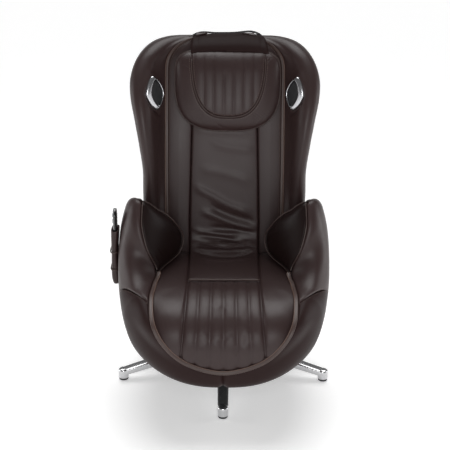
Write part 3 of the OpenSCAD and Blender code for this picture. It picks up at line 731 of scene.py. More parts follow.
def leaf_grid():
    seam = rim_points(LEAF_FOOT, LEAF_PEAK, LEAF_ROWS)
    edge = through(LEAF_EDGE, LEAF_ROWS)
    u = np.linspace(0, 1, LEAF_COLUMNS)[None, :, None]
    return lerp(seam[:, None, :], edge[:, None, :], u)


def leaf_swell(grid):
    rows, columns = grid.shape[:2]
    u = np.linspace(0, 1, columns)[None, :]
    v = np.linspace(0, 1, rows)[:, None]
    return 20 * np.sin(math.pi * u) ** 0.7 * np.sin(math.pi * v) ** 0.6


def leaf_thickness():
    v = np.linspace(0, 1, LEAF_ROWS)[:, None]
    return np.repeat(5 + 25 * np.sin(math.pi * v) ** 0.5, LEAF_COLUMNS, axis=1)


leaf_towards = np.array([0.45, -0.85, 0.2])
for side_name, right in SIDES:
    away = leaf_towards * (np.array([-1, 1, 1]) if right else 1)
    leaf = panel("arm_leaf_" + side_name, maybe_mirror(leaf_grid(), right), away, leaf_thickness(),
                 {"l": 5, "r": 17}, 0, leaf_swell, fixed=True, swell=7)
    # The leaves take the darker arm leather: painted shade where the arms face inward.
    dress(leaf, arm_leather, "seat", node="arm_pad_" + side_name)
    free_edge = maybe_mirror(through(LEAF_EDGE, 90), right) + away * [4, 4, 4]
    dress(tube("arm_leaf_piping_" + side_name, free_edge, 1.8), dark_piping, "seat")
    seam_line = maybe_mirror(rim_points(LEAF_FOOT, LEAF_PEAK, 80), right)
    dress(tube("arm_seam_piping_" + side_name, seam_line, 2.0), dark_piping, "seat")


# ---------------------------------------------------------------- seat cushion

def seat_profile():
    """Side view of the seat's top and front: (y, z) from the rear to the front hem."""
    top = [(112, 395, 0), (60, 404, 0), (-40, 409, 0), (-140, SEAT_TOP + 1, 0), (-230, SEAT_TOP - 2, 0),
           (-300, SEAT_TOP - 10, 0), (-352, SEAT_TOP - 30, 0), (-385, SEAT_TOP - 62, 0),
           (SEAT_FRONT_Y + 3, SEAT_TOP - 105, 0), (SEAT_FRONT_Y + 3, 262, 0), (SEAT_FRONT_Y + 9, SEAT_HEM_Z, 0)]
    return through(top, 220)[:, :2]


SEAT_PATH = seat_profile()
SEAT_RUN = run_along(SEAT_PATH)
CROSS_SEAM_Y = -163
FLARE_Z = 240


def run_at_z(z):
    """Distance along the seat's profile where its front comes down to a height."""
    falling = SEAT_PATH[:, 0] < -140
    zs = SEAT_PATH[falling, 1]
    return np.interp(-z, -zs, SEAT_RUN[falling])


def seat_grid(rows, columns):
    grid = np.zeros((rows, columns, 3))
    for i, a in enumerate(np.linspace(-90, 90, columns)):
        x = SEAT_HALF_W * math.sin(math.radians(a))
        hem = SEAT_RIM_Z - (SEAT_RIM_Z - SEAT_HEM_Z) * bulge(x / SEAT_HALF_W, 1.85)
        s = np.linspace(0, run_at_z(hem), rows)
        y = np.interp(s, SEAT_RUN, SEAT_PATH[:, 0])
        z = np.interp(s, SEAT_RUN, SEAT_PATH[:, 1])
        narrow = 1 - 0.07 * ease((y + 160) / 270)
        recede = 27 * abs(x / SEAT_HALF_W) ** 5 * ease((-y - 230) / 120)
        grid[:, i] = np.stack([x * narrow, y + recede, z - 5 * (x / SEAT_HALF_W) ** 2], axis=1)
    return grid


def groove(distance, width, depth):
    return -depth * np.exp(-(distance / width) ** 2)


def panel_half_width(grid):
    """Half the channelled panel's width, flaring towards the front hem."""
    y, z = grid[..., 1], grid[..., 2]
    ahead = np.clip((CROSS_SEAM_Y - y) / (CROSS_SEAM_Y - SEAT_FRONT_Y), 0, 1)
    down = np.clip((SEAT_TOP - z) / (SEAT_TOP - FLARE_Z), 0, 1)
    return 112 + 4 * ahead + 14 * down


def seat_detail(grid):
    x = grid[..., 0]
    half = panel_half_width(grid)
    lift = groove(np.abs(x) - half, 3.4, 6)
    inside = ease((half - np.abs(x)) / 4) * ease((CROSS_SEAM_Y - grid[..., 1]) / 6)
    channel = np.abs(np.sin(3 * math.pi * x / half)) ** 0.55
    lift = lift + inside * 5.0 * (channel - 0.85)
    strip = np.clip((np.abs(x) - half) / (SEAT_HALF_W - half), 0, 1)
    return lift + 6 * np.sin(math.pi * strip) ** 0.6


def seat_mask(grid):
    """The seat stays low under the back's centre panel, which lies on it."""
    ahead = ease((CROSS_SEAM_Y - 10 - grid[..., 1]) / 70)
    beside = ease((np.abs(grid[..., 0]) - panel_half_width(grid) + 6) / 24)
    return ahead * lerp(0.75, 0.15, beside)


seat = panel("seat_cushion_cover", seat_grid(190, 210), UP, 26, {"l": 14, "r": 14, "u": 10, "d": 12}, 3,
             seat_detail, swell=8, mask=seat_mask)
dress(seat, leather, "seat", node="seat_cushion")

seat_edge = seat_grid(120, 121)
edge_loop = np.concatenate([seat_edge[20:, 0], seat_edge[-1, 1:], seat_edge[::-1, -1][1:-20]])
edge_middle = np.array([0, -120, 0])
edge_out = edge_loop - edge_middle
edge_out[:, 2] = 0
rim_left = rim_points(5.9, 0, 150)
rim_loop = even(np.concatenate([rim_left, mirrored(rim_left)[-2::-1]]), 260)
rim_out = unit((rim_loop - edge_middle) * [1, 1, 0])
dropped = ease((400 - rim_loop[:, 2:]) / 120)     # 0 along the sides, 1 round the front
rim_face = unit(lerp(np.array([0, -0.2, 0.98]), np.array([0, -0.9, 0.43]), dropped))
band_path = rim_loop - 5 * rim_out * (1 - dropped) + rim_face * (1 + 8 * dropped)
dress(band("seat_band", band_path, rim_face, 12, 7), piping_leather, "seat")
inner_edge = unit(np.cross(np.gradient(band_path, axis=0), rim_face))
inner_edge = inner_edge * np.sign(np.sum(inner_edge * (edge_middle + [0, 0, 380] - band_path), axis=1))[:, None]
dress(tube("seat_piping", band_path + inner_edge * 5.6 + rim_face * 1.8, 1.7), bright_piping, "seat")
inner_loop = even(edge_loop - 16 * unit(edge_out) + np.array([0, -3.5, 2.0]), 260)
dress(stitches("seat_rim_stitches", inner_loop, radius=0.8), thread, "seat")

cross_x = np.linspace(-113, 113, 40)
cross_line = np.stack([cross_x, np.full(40, CROSS_SEAM_Y + 1.0), np.full(40, SEAT_TOP + 9.0)], axis=1)
dress(tube("cross_piping", cross_line, 2.6), piping_leather, "seat")


# ---------------------------------------------------------------- back

BACK_START_Z = 330
BACK_SPAN = 752
TOP_Z = 1030        # above this the back rounds over to its ridge
RIDGE_Z = 1087
RIDGE_Y = 324
WING_REACH = 92


def back_t(z):
    return np.clip((z - BACK_START_Z) / BACK_SPAN, 0, 1)


def pad_y(z):
    t = back_t(z)
    return 112 + 40 * t + 135 * t ** 2.2


def wing_y(z):
    return pad_y(z) - WING_REACH * math.sin(math.pi * back_t(z) ** 1.9)


def shoulder(z):
    return bulge((z - 986) / 103, 2.7) if z > 986 else 1.0


BACK_WIDTHS = through([(258, 0, 340), (264, 0, 440), (268, 0, 600), (267, 0, 680), (277, 0, 765), (291, 0, 846),
                       (306, 0, 920), (308, 0, 966), (298, 0, 1005), (282, 0, 1031), (262, 0, 1051),
                       (236, 0, 1067), (196, 0, 1080), (150, 0, RIDGE_Z)], 240)


def back_half_width(z):
    return np.interp(z, BACK_WIDTHS[:, 2], BACK_WIDTHS[:, 0])


def back_rear(z):
    return PIVOT[1] + 106 + 150 * math.sin(math.radians(108 * back_t(z) ** 1.25)) - 30 * (1 - shoulder(z))


def seam_x(z):
    return SEAM_X * (bulge((z - 980) / 108, 2.8) if z > 980 else 1.0)


def panel_x(z):
    """Half width of the back's centre panel."""
    return np.interp(z, [400, 500, 810, 1087], [113, 115, 107, 96])


def round_over(points, z):
    """Draws a level's points in towards the ridge near the top."""
    if z <= TOP_Z:
        return points
    share = math.sqrt(max(0.0, 1 - ((z - TOP_Z) / (RIDGE_Z - TOP_Z + 0.6)) ** 2))
    points = points.copy()
    points[:, 1] = RIDGE_Y + (points[:, 1] - RIDGE_Y) * share
    return points


def back_levels(low, count):
    a = np.radians(np.linspace(0, 86, 14))[1:]
    return np.concatenate([np.linspace(low, TOP_Z, count), TOP_Z + (RIDGE_Z - TOP_Z) * np.sin(a)])[::-1]


def wing_section(z, columns):
    """From the pad's seam over the wing's front to the middle of its outer side (left wing)."""
    w, y0, yp, inner = back_half_width(z), wing_y(z), pad_y(z), seam_x(z)
    span = max(20, w - inner)
    line = through([
        (-inner, yp + 3, z), (-inner - 0.13 * span, yp - 7, z), (-inner - 0.32 * span, lerp(yp, y0, 0.45), z),
        (-inner - 0.52 * span, lerp(yp, y0, 0.86), z), (-inner - 0.7 * span, y0, z),
        (-inner - 0.88 * span, y0 + 6, z), (-inner - 0.98 * span, y0 + 24, z), (-inner - span, y0 + 52, z),
    ], columns)
    return round_over(line, z)


def shell_section(z, columns, middle):
    """From the middle of the outer side round the rear to the centre; middle is where it starts."""
    w, rear = back_half_width(z), back_rear(z)
    a = np.linspace(0, math.pi / 2, 60)
    y = middle + (rear - middle) * power(np.sin(a), 2.5)
    line = np.stack([-w * power(np.cos(a), 2.5), y, 0 * a + z], axis=1)
    return round_over(even(line, columns), z)


levels = back_levels(396, 150)
wing_patch = np.array([wing_section(z, 64) for z in levels])
shell_upper = np.array([shell_section(z, 90, wing_y(z) + 52) for z in levels])


def curled_under(line, angle):
    """A level turned about the recline pivot, to continue the shell under its lower end."""
    c, s = math.cos(angle), math.sin(angle)
    y, z = line[:, 1] - PIVOT[1], line[:, 2] - PIVOT[2]
    return np.stack([line[:, 0], PIVOT[1] + c * y + s * z, PIVOT[2] - s * y + c * z], axis=1)


lowest = shell_upper[-1]
behind = lowest[:, 1] > PIVOT[1]
shell_lower = np.array([
    np.where(behind[:, None], curled_under(lowest, math.radians(a)), lowest - [0, 0, 1.2 * a])
    for a in np.linspace(4, 52, 10)
])
shell_patch = np.concatenate([shell_upper, shell_lower])


def pad_grid(x_from, x_to, columns, low, lift=0.0, rows=150):
    """A stretch of the back's front face; x_from and x_to are functions of the height."""
    out = []
    for z in back_levels(low, rows):
        x = np.linspace(x_from(z), x_to(z), columns)
        level = np.stack([x, np.full(columns, pad_y(z) - lift), np.full(columns, z)], axis=1)
        out.append(round_over(level, z))
    return np.array(out)


SPEAKER_AT = np.array([-229, 184, (BEZEL_LOW[2] + BEZEL_HIGH[2]) / 2])
SPEAKER_W, SPEAKER_H = 35, 54
SPEAKER_P = 1.45     # 1 is a diamond with straight sides, 2 an ellipse
TILT, TURN = math.radians(80), math.radians(45)


def speaker_frame(points):
    """From the speaker's own frame, facing +Z, to its place in the left wing."""
    x, y, z = np.asarray(points, float).reshape(-1, 3).T
    y, z = y * math.cos(TILT) - z * math.sin(TILT), y * math.sin(TILT) + z * math.cos(TILT)
    x, y = x * math.cos(TURN) - y * math.sin(TURN), x * math.sin(TURN) + y * math.cos(TURN)
    return np.stack([x, y, z], axis=1) + SPEAKER_AT


def diamond(grow, count=120):
    a = np.arange(count) * 2 * math.pi / count
    across, up = power(np.cos(a), SPEAKER_P), power(np.sin(a), SPEAKER_P)
    return np.stack([(SPEAKER_W + grow) * across, (SPEAKER_H + grow) * up], axis=1)


OPENING_MIDDLE = np.array([8.0, 0.0])


def opening(shrink):
    """The bezel's inner edge, nearer to the chair's middle so that the outer side is broad."""
    return diamond(-12.5 - shrink) + OPENING_MIDDLE


def speaker_recess(grid):
    """Lowers a wing's face to the speaker's plate, inside and just round its outline."""
    local = grid * np.where(grid[..., :1] > 0, [-1.0, 1, 1], [1.0, 1, 1]) - SPEAKER_AT
    x, y, z = local[..., 0], local[..., 1], local[..., 2]
    x, y = x * math.cos(TURN) + y * math.sin(TURN), -x * math.sin(TURN) + y * math.cos(TURN)
    y, z = y * math.cos(TILT) + z * math.sin(TILT), -y * math.sin(TILT) + z * math.cos(TILT)
    reach = (np.abs(x / SPEAKER_W) ** SPEAKER_P + np.abs(y / SPEAKER_H) ** SPEAKER_P) ** (1 / SPEAKER_P)
    return -np.clip(z + 2, -4, 30) * ease((1.5 - reach) / 0.45)


BACK_ROLL = {"l": 6, "r": 6, "u": 8, "d": 8}
SHELL_ROLL = {"l": 5, "r": 5, "u": 8, "d": 5}
for side_name, right in SIDES:
    wing = panel("wing_cover_" + side_name, maybe_mirror(wing_patch, right), FRONT, 10, BACK_ROLL, 2,
                 speaker_recess)
    dress(wing, leather, "back", node="wing_" + side_name)
    strip_grid = pad_grid(lambda z: -seam_x(z), lambda z: -panel_x(z), 40, 366)
    strip = panel("back_strip_" + side_name, maybe_mirror(strip_grid, right), FRONT, 12, BACK_ROLL, 6)
    dress(strip, leather, "back")
    edge = np.array([(-seam_x(z), round_over(np.array([[0, pad_y(z) - 3, z]]), z)[0][1], z) for z in levels])
    edge = maybe_mirror(even(edge, 160), right)
    dress(band("back_band_" + side_name, edge, FRONT, 10, 7), piping_leather, "back")
    outer_edge = edge + np.array([5.0 if right else -5.0, -1.5, 0])
    dress(tube("back_piping_" + side_name, outer_edge, 1.7), bright_piping, "back")
    thread_line = edge + np.array([-9.0 if right else 9.0, -4.5, 0])
    dress(stitches("back_stitches_" + side_name, thread_line), thread, "back")

for side_name, right in SIDES:
    side_shell = panel("back_shell_" + side_name, maybe_mirror(shell_patch[:, :62], right), facing(right), 8,
                       SHELL_ROLL, 1)
    dress(side_shell, leather, "back", node="back_shell")
centre_shell_grid = np.concatenate([shell_patch[:, 61:], mirrored(shell_patch)[:, :60:-1][:, 1:]], axis=1)
centre_shell = panel("back_shell_centre", centre_shell_grid, REAR, 8, SHELL_ROLL, 1)
dress(centre_shell, leather, "back", node="back_shell")

core_grid = pad_grid(lambda z: -seam_x(z) + 2, lambda z: seam_x(z) - 2, 30, 400, -9, 60)
core = panel("back_pad_core", core_grid, FRONT, 24, 6)
# The back pad's core takes the darker arm leather, which paints shade wherever it shows between the back's panels.
dress(core, arm_leather, "back", node="back_pad")


# Centre panel: from the ridge down over the crease and forward onto the seat

CREASE = [(0, pad_y(470) - 4, 470), (0, 108, 443), (0, 84, 424), (0, 40, 414), (0, -20, SEAT_TOP + 4),
          (0, -90, SEAT_TOP + 5), (0, CROSS_SEAM_Y, SEAT_TOP + 5)]
WRINKLES = [   # distance below the panel's top at its centre, slope, sag, height, width, from x, to x
    (330, 0.14, 0, 1.6, 12, -110, 90), (372, 0.20, 0, 1.6, 14, -60, 110), (470, 0.22, 0, 2.2, 16, -90, 100),
    (560, 0.42, 0, 4.6, 15, -112, 100), (592, 0.40, 0, -4.8, 13, -60, 116), (622, 0.30, 0, 4.6, 13, -90, 116),
    (650, 0.20, 0, -4.4, 10, -60, 116), (668, 0.06, 0, 4.4, 10, -116, 60), (690, 0.20, 0, -4.0, 9, -100, 110),
    (706, 0.05, 0, 4.2, 9, -60, 116), (728, 0.34, 0, -3.6, 9, -112, 40), (746, 0, -0.0024, 3.6, 11, -112, 112),
    (780, 0, -0.0034, -4.4, 12, -112, 112), (812, 0, -0.002, 2.2, 13, -100, 100),
]


def centre_grid(rows, columns):
    upper = []
    for z in back_levels(474, 120):
        upper.append(round_over(np.array([[0, pad_y(z) - 4, z]]), z)[0])
    path = even(np.concatenate([upper, through(CREASE, 60)]), rows)
    half = np.where(path[:, 1] < 84, 113.0, panel_x(path[:, 2]))
    x = np.linspace(-1, 1, columns)
    grid = np.repeat(path[:, None, :], columns, axis=1)
    grid[..., 0] = half[:, None] * x[None, :]
    return grid


def wrinkle(grid):
    path = grid[:, grid.shape[1] // 2]
    run = run_along(path)[:, None]
    x = grid[..., 0]
    lift = np.zeros(grid.shape[:2])
    for at, slope, sag, height, width, x0, x1 in WRINKLES:
        fade = ease((x - x0) / 40) * ease((x1 - x) / 40)
        bend = run - at - slope * x - sag * x ** 2 - 5 * np.sin(x / 37 + at)
        lift += height * np.exp(-(bend / width) ** 2) * fade
    return lift


centre = panel("back_centre_panel", centre_grid(260, 90), FRONT + UP, 9, SHELL_ROLL, 5, wrinkle)
dress(centre, leather, None)
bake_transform(centre)


# ---------------------------------------------------------------- head pillow

PILLOW_X = 9
PILLOW_W = 171
PILLOW_MID = 965
PILLOW_UP = PILLOW_HIGH[2] - PILLOW_MID + 8
PILLOW_DOWN = PILLOW_MID - PILLOW_LOW[2] + 16
PILLOW_DEPTH = 60
YOKE_X = 11.5
YOKE_W = 120
YOKE_TOP = 1060
YOKE_DROP = 201
CHANNEL = 32.2
CHANNEL_X = -3


def pillow_outline(a):
    c, s = np.cos(a), np.sin(a)
    top = s > 0
    p = np.where(top, 4.2, 2.85)
    x = PILLOW_W * power(c, p)
    z = np.where(top, PILLOW_UP, PILLOW_DOWN) * power(s, p)
    return np.stack([x, z], axis=1)


def yoke_distance(x, z):
    """About how far a point is from the pillow's U seam; negative inside."""
    u, v = np.abs(x - YOKE_X) / YOKE_W, np.clip((YOKE_TOP - z) / YOKE_DROP, 0, 2)
    level = (u ** 2.7 + v ** 2.7) ** (1 / 2.7)
    return (level - 1) * 130


pillow_surface = []     # the front as it swells, before its seams are drawn in


def pillow_mesh(count):
    """The pillow's front and back as two square grids drawn out to its outline and joined round the edge."""
    u, v = np.meshgrid(np.linspace(-1, 1, count), np.linspace(1, -1, count))
    dx, dz = u * np.sqrt(1 - v * v / 2), v * np.sqrt(1 - u * u / 2)
    r = np.hypot(dx, dz)
    outline = pillow_outline(np.arctan2(dz, dx).ravel())
    x = (r.ravel() * outline[:, 0]).reshape(r.shape) + PILLOW_X
    z = (r.ravel() * outline[:, 1]).reshape(r.shape) + PILLOW_MID
    hem_y = pad_y(z) - 28
    crown = np.clip(1 - r ** 3.2, 0, 1) ** 0.52
    d = yoke_distance(x, z)
    channel = np.abs(np.sin(math.pi * (x - CHANNEL_X) / CHANNEL)) ** 0.5
    relief = groove(d, 3.0, 4.5) + ease(-d / 5) * 3.2 * (channel - 0.85)
    front = hem_y - 1 - PILLOW_DEPTH * 0.72 * crown - relief * np.minimum(1, 1.6 * crown)
    behind = hem_y + 1 + 13 * crown
    smooth = np.stack([x, hem_y - 1 - PILLOW_DEPTH * 0.72 * crown, z], axis=-1)
    puff = swollen(smooth, np.stack([x, behind, z], axis=-1), 9)
    pillow_surface.append((smooth + puff).reshape(-1, 3))
    faces = grid_faces(count, count) + grid_faces(count, count, count * count, True) + rim_faces(count, count)
    sheets = [np.stack([x, front, z], axis=-1) + puff, np.stack([x, behind, z], axis=-1)]
    points = np.concatenate([sheet.reshape(-1, 3) for sheet in sheets])
    return face_outward(add_mesh("head_pillow_cover", points, faces))


pillow = pillow_mesh(190)
dress(pillow, leather, "pillow", node="head_pillow")


def pillow_face(x, z):
    """The pillow's front surface at a point, for the thread on it."""
    surface_points = pillow_surface[0]
    near = np.argsort(np.hypot(surface_points[:, 0] - x, surface_points[:, 2] - z))[:4]
    return float(surface_points[near, 1].mean())


def yoke_line(grow):
    a = np.linspace(math.radians(4), math.radians(176), 120)
    x = YOKE_X + (YOKE_W + grow) * power(np.cos(a), 2.7)
    z = YOKE_TOP - (YOKE_DROP + grow) * power(np.sin(a), 2.7)
    keep = z < 1040
    return np.array([(px, pillow_face(px, pz) - 0.2, pz) for px, pz in zip(x[keep], z[keep])])


for number, grow in ((1, -7), (2, 7)):
    dress(stitches(f"pillow_stitches_{number}", yoke_line(grow)), thread, "pillow")
dress(tube("pillow_yoke_piping", yoke_line(0) + np.array([0, 2.5, 0]), 1.9), dark_piping, "pillow")

hem = pillow_outline(np.linspace(0, 2 * math.pi, 240, endpoint=False)) * 1.004
hem = np.array([(x + PILLOW_X, pad_y(z + PILLOW_MID) - 28, z + PILLOW_MID) for x, z in hem])
dress(tube("pillow_hem_piping", hem, 2.2, closed=True), dark_piping, "pillow")


# Flap from the pillow's top over the ridge to the rear

FLAP_PATH = [(0, pad_y(1056) - 47, 1056), (0, pad_y(1068) - 34, 1072), (0, 276, 1085), (0, 304, RIDGE_Z + 4),
             (0, 336, RIDGE_Z + 3), (0, 356, 1074), (0, 372, 1050), (0, 384, 1020)]
FLAP_X = 15


def flap_grid():
    path = through(FLAP_PATH, 70)
    x = np.linspace(-1, 1, 60)
    grid = np.repeat(path[:, None, :], 60, axis=1)
    along = np.linspace(0, 1, 70)[:, None]
    grid[..., 0] = FLAP_X - 8 * along + x[None, :] * (128 - 14 * along)
    grid[..., 2] -= 7 * np.abs(x[None, :]) ** 3
    return grid


def flap_detail(grid):
    x, z = grid[..., 0], grid[..., 2]
    return 1.2 * np.sin(x / 31 + z / 90) + groove(np.abs(x - FLAP_X) - 104, 2.4, 1.6)


flap = panel("pillow_flap_cover", flap_grid(), UP + FRONT, 5, 3, 1.5, flap_detail)
dress(flap, shaded_flap_leather, None, node="pillow_flap")
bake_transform(flap)


strap_y = (STRAP_LOW[1] + STRAP_HIGH[1]) / 2
strap_path = through([(-118, strap_y, 1066), (-106, strap_y, 1080), (-84, strap_y, 1090), (-30, strap_y, 1089),
                      (30, strap_y, 1090), (90, strap_y, 1094), (114, strap_y, 1084), (126, strap_y, 1066)], 90)
strap = band("lifting_strap", strap_path, (0, 0.39, 0.92), 22, 2.8)
dress(strap, SLOT_LOOKS["webbing"], "back", node="handle_strap")


# ---------------------------------------------------------------- speakers

BEZEL_PROFILE = [(0, -12), (0, 1.5), (0.08, 4.2), (0.25, 6.4), (0.5, 7.6), (0.62, 8.6), (0.8, 8.4),
                 (0.95, 6.8), (1, 4.5), (1, -12)]
MESH_RINGS = 22


def speaker_ring(line, high):
    """A loop at a height over the speaker's plate, in its place in the left wing."""
    return speaker_frame(np.concatenate([line, np.full((len(line), 1), high)], axis=1))


for side_name, right in SIDES:
    rings = []
    for share, high in BEZEL_PROFILE + BEZEL_PROFILE[:1]:
        rings.append(speaker_ring(lerp(diamond(1.5), opening(0), share), high))
    rings = maybe_mirror(np.array(rings), right)
    bezel = face_outward(add_mesh("speaker_bezel_" + side_name, rings.reshape(-1, 3),
                                  grid_faces(len(rings), rings.shape[1], wrap=True)))
    dress(bezel, SLOT_LOOKS["chrome"], "back", node="speaker_bezels")
    rings = []
    for k in range(MESH_RINGS):
        r = max(0.01, k / (MESH_RINGS - 1))
        rings.append(speaker_ring(lerp(OPENING_MIDDLE, opening(0.1), r), 1.2 + 2.6 * (1 - r * r)))
    rings.append(speaker_ring(opening(0.1), -2.4))
    grille = skin("speaker_mesh_" + side_name, maybe_mirror(np.array(rings), right))
    dress(grille, SLOT_LOOKS["black_mesh"], "back", node="speaker_grilles")


# ---------------------------------------------------------------- remote and its pouch

remote_mid = (REMOTE_LOW + REMOTE_HIGH) / 2


def rounded_loop(half_x, half_y, p, count=40):
    a = np.arange(count) * 2 * math.pi / count
    return np.stack([half_x * power(np.cos(a), p), half_y * power(np.sin(a), p)], axis=1)


def remote_ring(loop, shift, z):
    """A loop round the remote, moved along X by shift, at a height."""
    return np.stack([remote_mid[0] + shift + loop[:, 0], remote_mid[1] + loop[:, 1],
                     np.full(len(loop), z)], axis=1)


def pouch_rings():
    rings = []
    for v in np.linspace(0, 1, 46):
        z = lerp(POUCH_LOW[2], POUCH_HIGH[2], v)
        swell = 1 + 0.16 * math.sin(2.3 * math.pi * v + 0.5) + 0.10 * math.sin(math.pi * v)
        close = bulge(1 - v / 0.16, 2.4) if v < 0.16 else 1.0
        loop = rounded_loop(11.0 * swell * (0.35 + 0.65 * close), 34 * (0.62 + 0.38 * close), 3.4)
        rings.append(remote_ring(loop, -3.0 * math.sin(math.pi * v), z))
    for inset, z in ((2.0, POUCH_HIGH[2] + 1), (3.2, POUCH_HIGH[2] - 2), (3.4, POUCH_HIGH[2] - 40)):
        rings.append(remote_ring(rounded_loop(11.5 - inset, 34 - inset, 3.4), 0, z))
    return rings


pouch = skin("remote_pouch", pouch_rings())
dress(pouch, leather, "seat", node="remote_pocket")
for number, v in ((1, 0.30), (2, 0.62)):
    ring = remote_ring(rounded_loop(13.2, 35.5, 3.4, 60), -3.0, lerp(POUCH_LOW[2], POUCH_HIGH[2], v))
    dress(tube(f"pouch_band_{number}", ring, 2.2, closed=True), dark_piping, "seat")


def remote_rings():
    """A flat rounded handset, wider at its top, waisted below the keys."""
    rings = []
    for v in np.linspace(0, 1, 60):
        z = lerp(REMOTE_LOW[2], REMOTE_HIGH[2], v)
        end = bulge(1 - v / 0.08, 2) if v < 0.08 else (bulge((v - 0.87) / 0.13, 2) if v > 0.87 else 1.0)
        half = (20 + 6 * ease((v - 0.35) / 0.4)) * max(0.12, end)
        depth = 6.6 * (0.7 + 0.3 * end)
        rings.append(remote_ring(rounded_loop(depth, half, 2.8), 0.3, z))
    return rings


handset = skin("remote_handset", remote_rings())
dress(handset, SLOT_LOOKS["gloss_black"], "remote", node="remote_shell")


# ---------------------------------------------------------------- star base

LEG_SLOPE = math.tan(math.radians(11.5))
LEG_REACH = (GLIDE_HIGH[0] - GLIDE_LOW[0]) / 2 / math.cos(math.radians(18)) - 15
LEG_TIP_Z = 38


def leg_rings():
    """One leg along +X from the hub to its foot."""
    rings = []
    for v in np.linspace(0, 1, 40):
        r = lerp(26, LEG_REACH, v)
        width = lerp(50, 38, v) / 2
        depth = lerp(36, 22, v)
        top = LEG_TIP_Z + (LEG_REACH - r) * LEG_SLOPE
        a = np.arange(28) * 2 * math.pi / 28
        y = width * power(np.cos(a), 4.4) * (1 - 0.10 * (1 - np.sin(a)))
        z = top - depth / 2 + depth / 2 * power(np.sin(a), 3.6)
        rings.append(np.stack([np.full(28, r), y, z], axis=1))
    return np.array(rings)


FOOT_PROFILE = [(0, 39.5), (9, 39.4), (14, 38.4), (16.6, 36), (17.4, 32), (17.2, 16), (17, 9), (16, 7), (0, 7)]
GLIDE_PROFILE = [(0, 7.4), (15, 7.4), (15.6, 6), (15.6, 2.4), (14.4, 0.6), (13, 0), (0, 0)]
HUB_PROFILE = [(0, 66), (44, 66), (49, 68), (52, 73), (52, 104), (50, 109), (46, 112), (40, 112.4), (0, 112.4)]
legs, glides = [], []
for number in range(5):
    a = math.radians(72 * number - 90)
    turn = np.array([[math.cos(a), math.sin(a), 0], [-math.sin(a), math.cos(a), 0], [0, 0, 1]])
    legs.append(skin(f"leg_{number}", leg_rings() @ turn + np.array([0, AXIS_Y, 0])))
    foot = (LEG_REACH * math.cos(a), AXIS_Y + LEG_REACH * math.sin(a))
    legs.append(lathe(f"foot_{number}", FOOT_PROFILE, foot))
    glides.append(lathe(f"glide_{number}", GLIDE_PROFILE, foot))
legs.append(lathe("hub", HUB_PROFILE, (0, AXIS_Y), 64))
star = join("star_base_polished", legs)
dress(star, SLOT_LOOKS["polished_aluminium"], "base", node="star_base")
glide_set = join("glides", glides)
dress(glide_set, SLOT_LOOKS["rubber"], "base", node="glide_pads")


# ---------------------------------------------------------------- seam thread on the bucket

def bucket_line(seam, v0, v1):
    """A seam's line down the left wall, between two shares of its length."""
    last = BUCKET_ROWS - 1
    return even([on_bucket(j, seam(j / last)) for j in range(int(v0 * last), int(v1 * last) + 1)], 100)


for side_name, right in SIDES:
    for number, shift in ((1, -0.09), (2, 0.09)):
        line = maybe_mirror(bucket_line(lambda v: side_seam(v) + shift, 0.03, 0.9), right)
        dress(stitches(f"side_seam_stitches_{side_name}_{number}", line), thread, "seat")


# ---------------------------------------------------------------- floor, light, camera

floor_mesh = bpy.data.meshes.new("floor")
floor_mesh.from_pydata([(-45, -45, 0), (45, -45, 0), (45, 45, 0), (-45, 45, 0)], [], [(0, 1, 2, 3)])
floor = add_object("floor", floor_mesh)
floor.location.z = -0.0005
floor_look = surface("pale_floor", (0.9, 0.9, 0.9, 1), 0.6, vary=0.01, rough_vary=0.02, strength=0.02)
floor_bsdf = floor_look.node_tree.nodes["Principled BSDF"]
floor_bsdf.inputs["Emission Color"].default_value = (1, 1, 1, 1)
floor_bsdf.inputs["Emission Strength"].default_value = 0.32
floor_mesh.materials.append(floor_look)

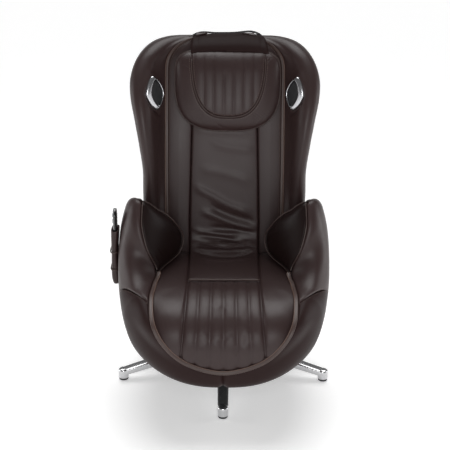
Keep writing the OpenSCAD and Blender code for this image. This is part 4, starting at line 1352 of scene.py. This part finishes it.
world = bpy.data.worlds.new("studio")
bpy.context.scene.world = world
bpy.context.scene.view_settings.view_transform = "Standard"
world.use_nodes = True
sky = world.node_tree.nodes["Background"]
sky_place = world.node_tree.nodes.new("ShaderNodeTexCoord")
sky_height = world.node_tree.nodes.new("ShaderNodeSeparateXYZ")
sky_strength = world.node_tree.nodes.new("ShaderNodeMapRange")      # white at the horizon, dim overhead
sky_strength.inputs["From Min"].default_value = 0.06
sky_strength.inputs["From Max"].default_value = 0.24
sky_strength.inputs["To Min"].default_value = 1.0
sky_strength.inputs["To Max"].default_value = 0.14
world.node_tree.links.new(sky_place.outputs["Generated"], sky_height.inputs[0])
world.node_tree.links.new(sky_height.outputs["Z"], sky_strength.inputs["Value"])
world.node_tree.links.new(sky_strength.outputs["Result"], sky.inputs["Strength"])
sky.inputs["Color"].default_value = (1, 1, 1, 1)


def add_light(name, kind, energy, turn, at=(0, 0, 0), **settings):
    data = bpy.data.lights.new(name, kind)
    data.energy = energy
    for key, value in settings.items():
        setattr(data, key, value)
    light = add_object(name, data)
    light.location = at
    light.rotation_euler = turn


def soft_light(name, at, aim, width, height, energy):
    """A rectangular lamp that looks at a point."""
    turn = Vector(np.array(aim, float) - np.array(at, float)).to_track_quat("-Z", "Y").to_euler()
    add_light(name, "AREA", energy, turn, at, shape="RECTANGLE", size=width, size_y=height)


SUN_TILT, SUN_ANGLE = math.radians(24), math.radians(45)    # brought to the front; wide, for soft shadows
add_light("overhead", "SUN", 2.0, (-SUN_TILT, 0, 0), angle=SUN_ANGLE)
soft_light("front_fill", (0, -3.3, 1.9), (0, 0, 0.7), 1.8, 1.2, 40)
soft_light("left_strip", (-2.2, 0.3, 1.0), (0, 0, 0.6), 0.5, 1.8, 12)
soft_light("right_strip", (2.2, 0.3, 1.0), (0, 0, 0.6), 0.5, 1.8, 12)

CAMERA_LENS, CAMERA_SENSOR = 88.96, 36                      # millimetres
CAMERA_SIDE, CAMERA_BACK, CAMERA_HIGH = 0.003, 3.4, 1.846   # metres, from the swivel axis on the floor
CAMERA_DOWN, CAMERA_TURN = math.radians(21.4), math.radians(0.35)
camera_data = bpy.data.cameras.new("camera")
camera_data.lens = CAMERA_LENS
camera_data.sensor_width = CAMERA_SENSOR
camera = add_object("camera", camera_data)
camera.location = (CAMERA_SIDE, AXIS_Y * MM - CAMERA_BACK, CAMERA_HIGH)
tilt = Matrix.Rotation(math.radians(90) - CAMERA_DOWN, 3, "X")
camera.rotation_euler = (tilt @ Matrix.Rotation(CAMERA_TURN, 3, "Z")).to_euler()
bpy.context.scene.camera = camera
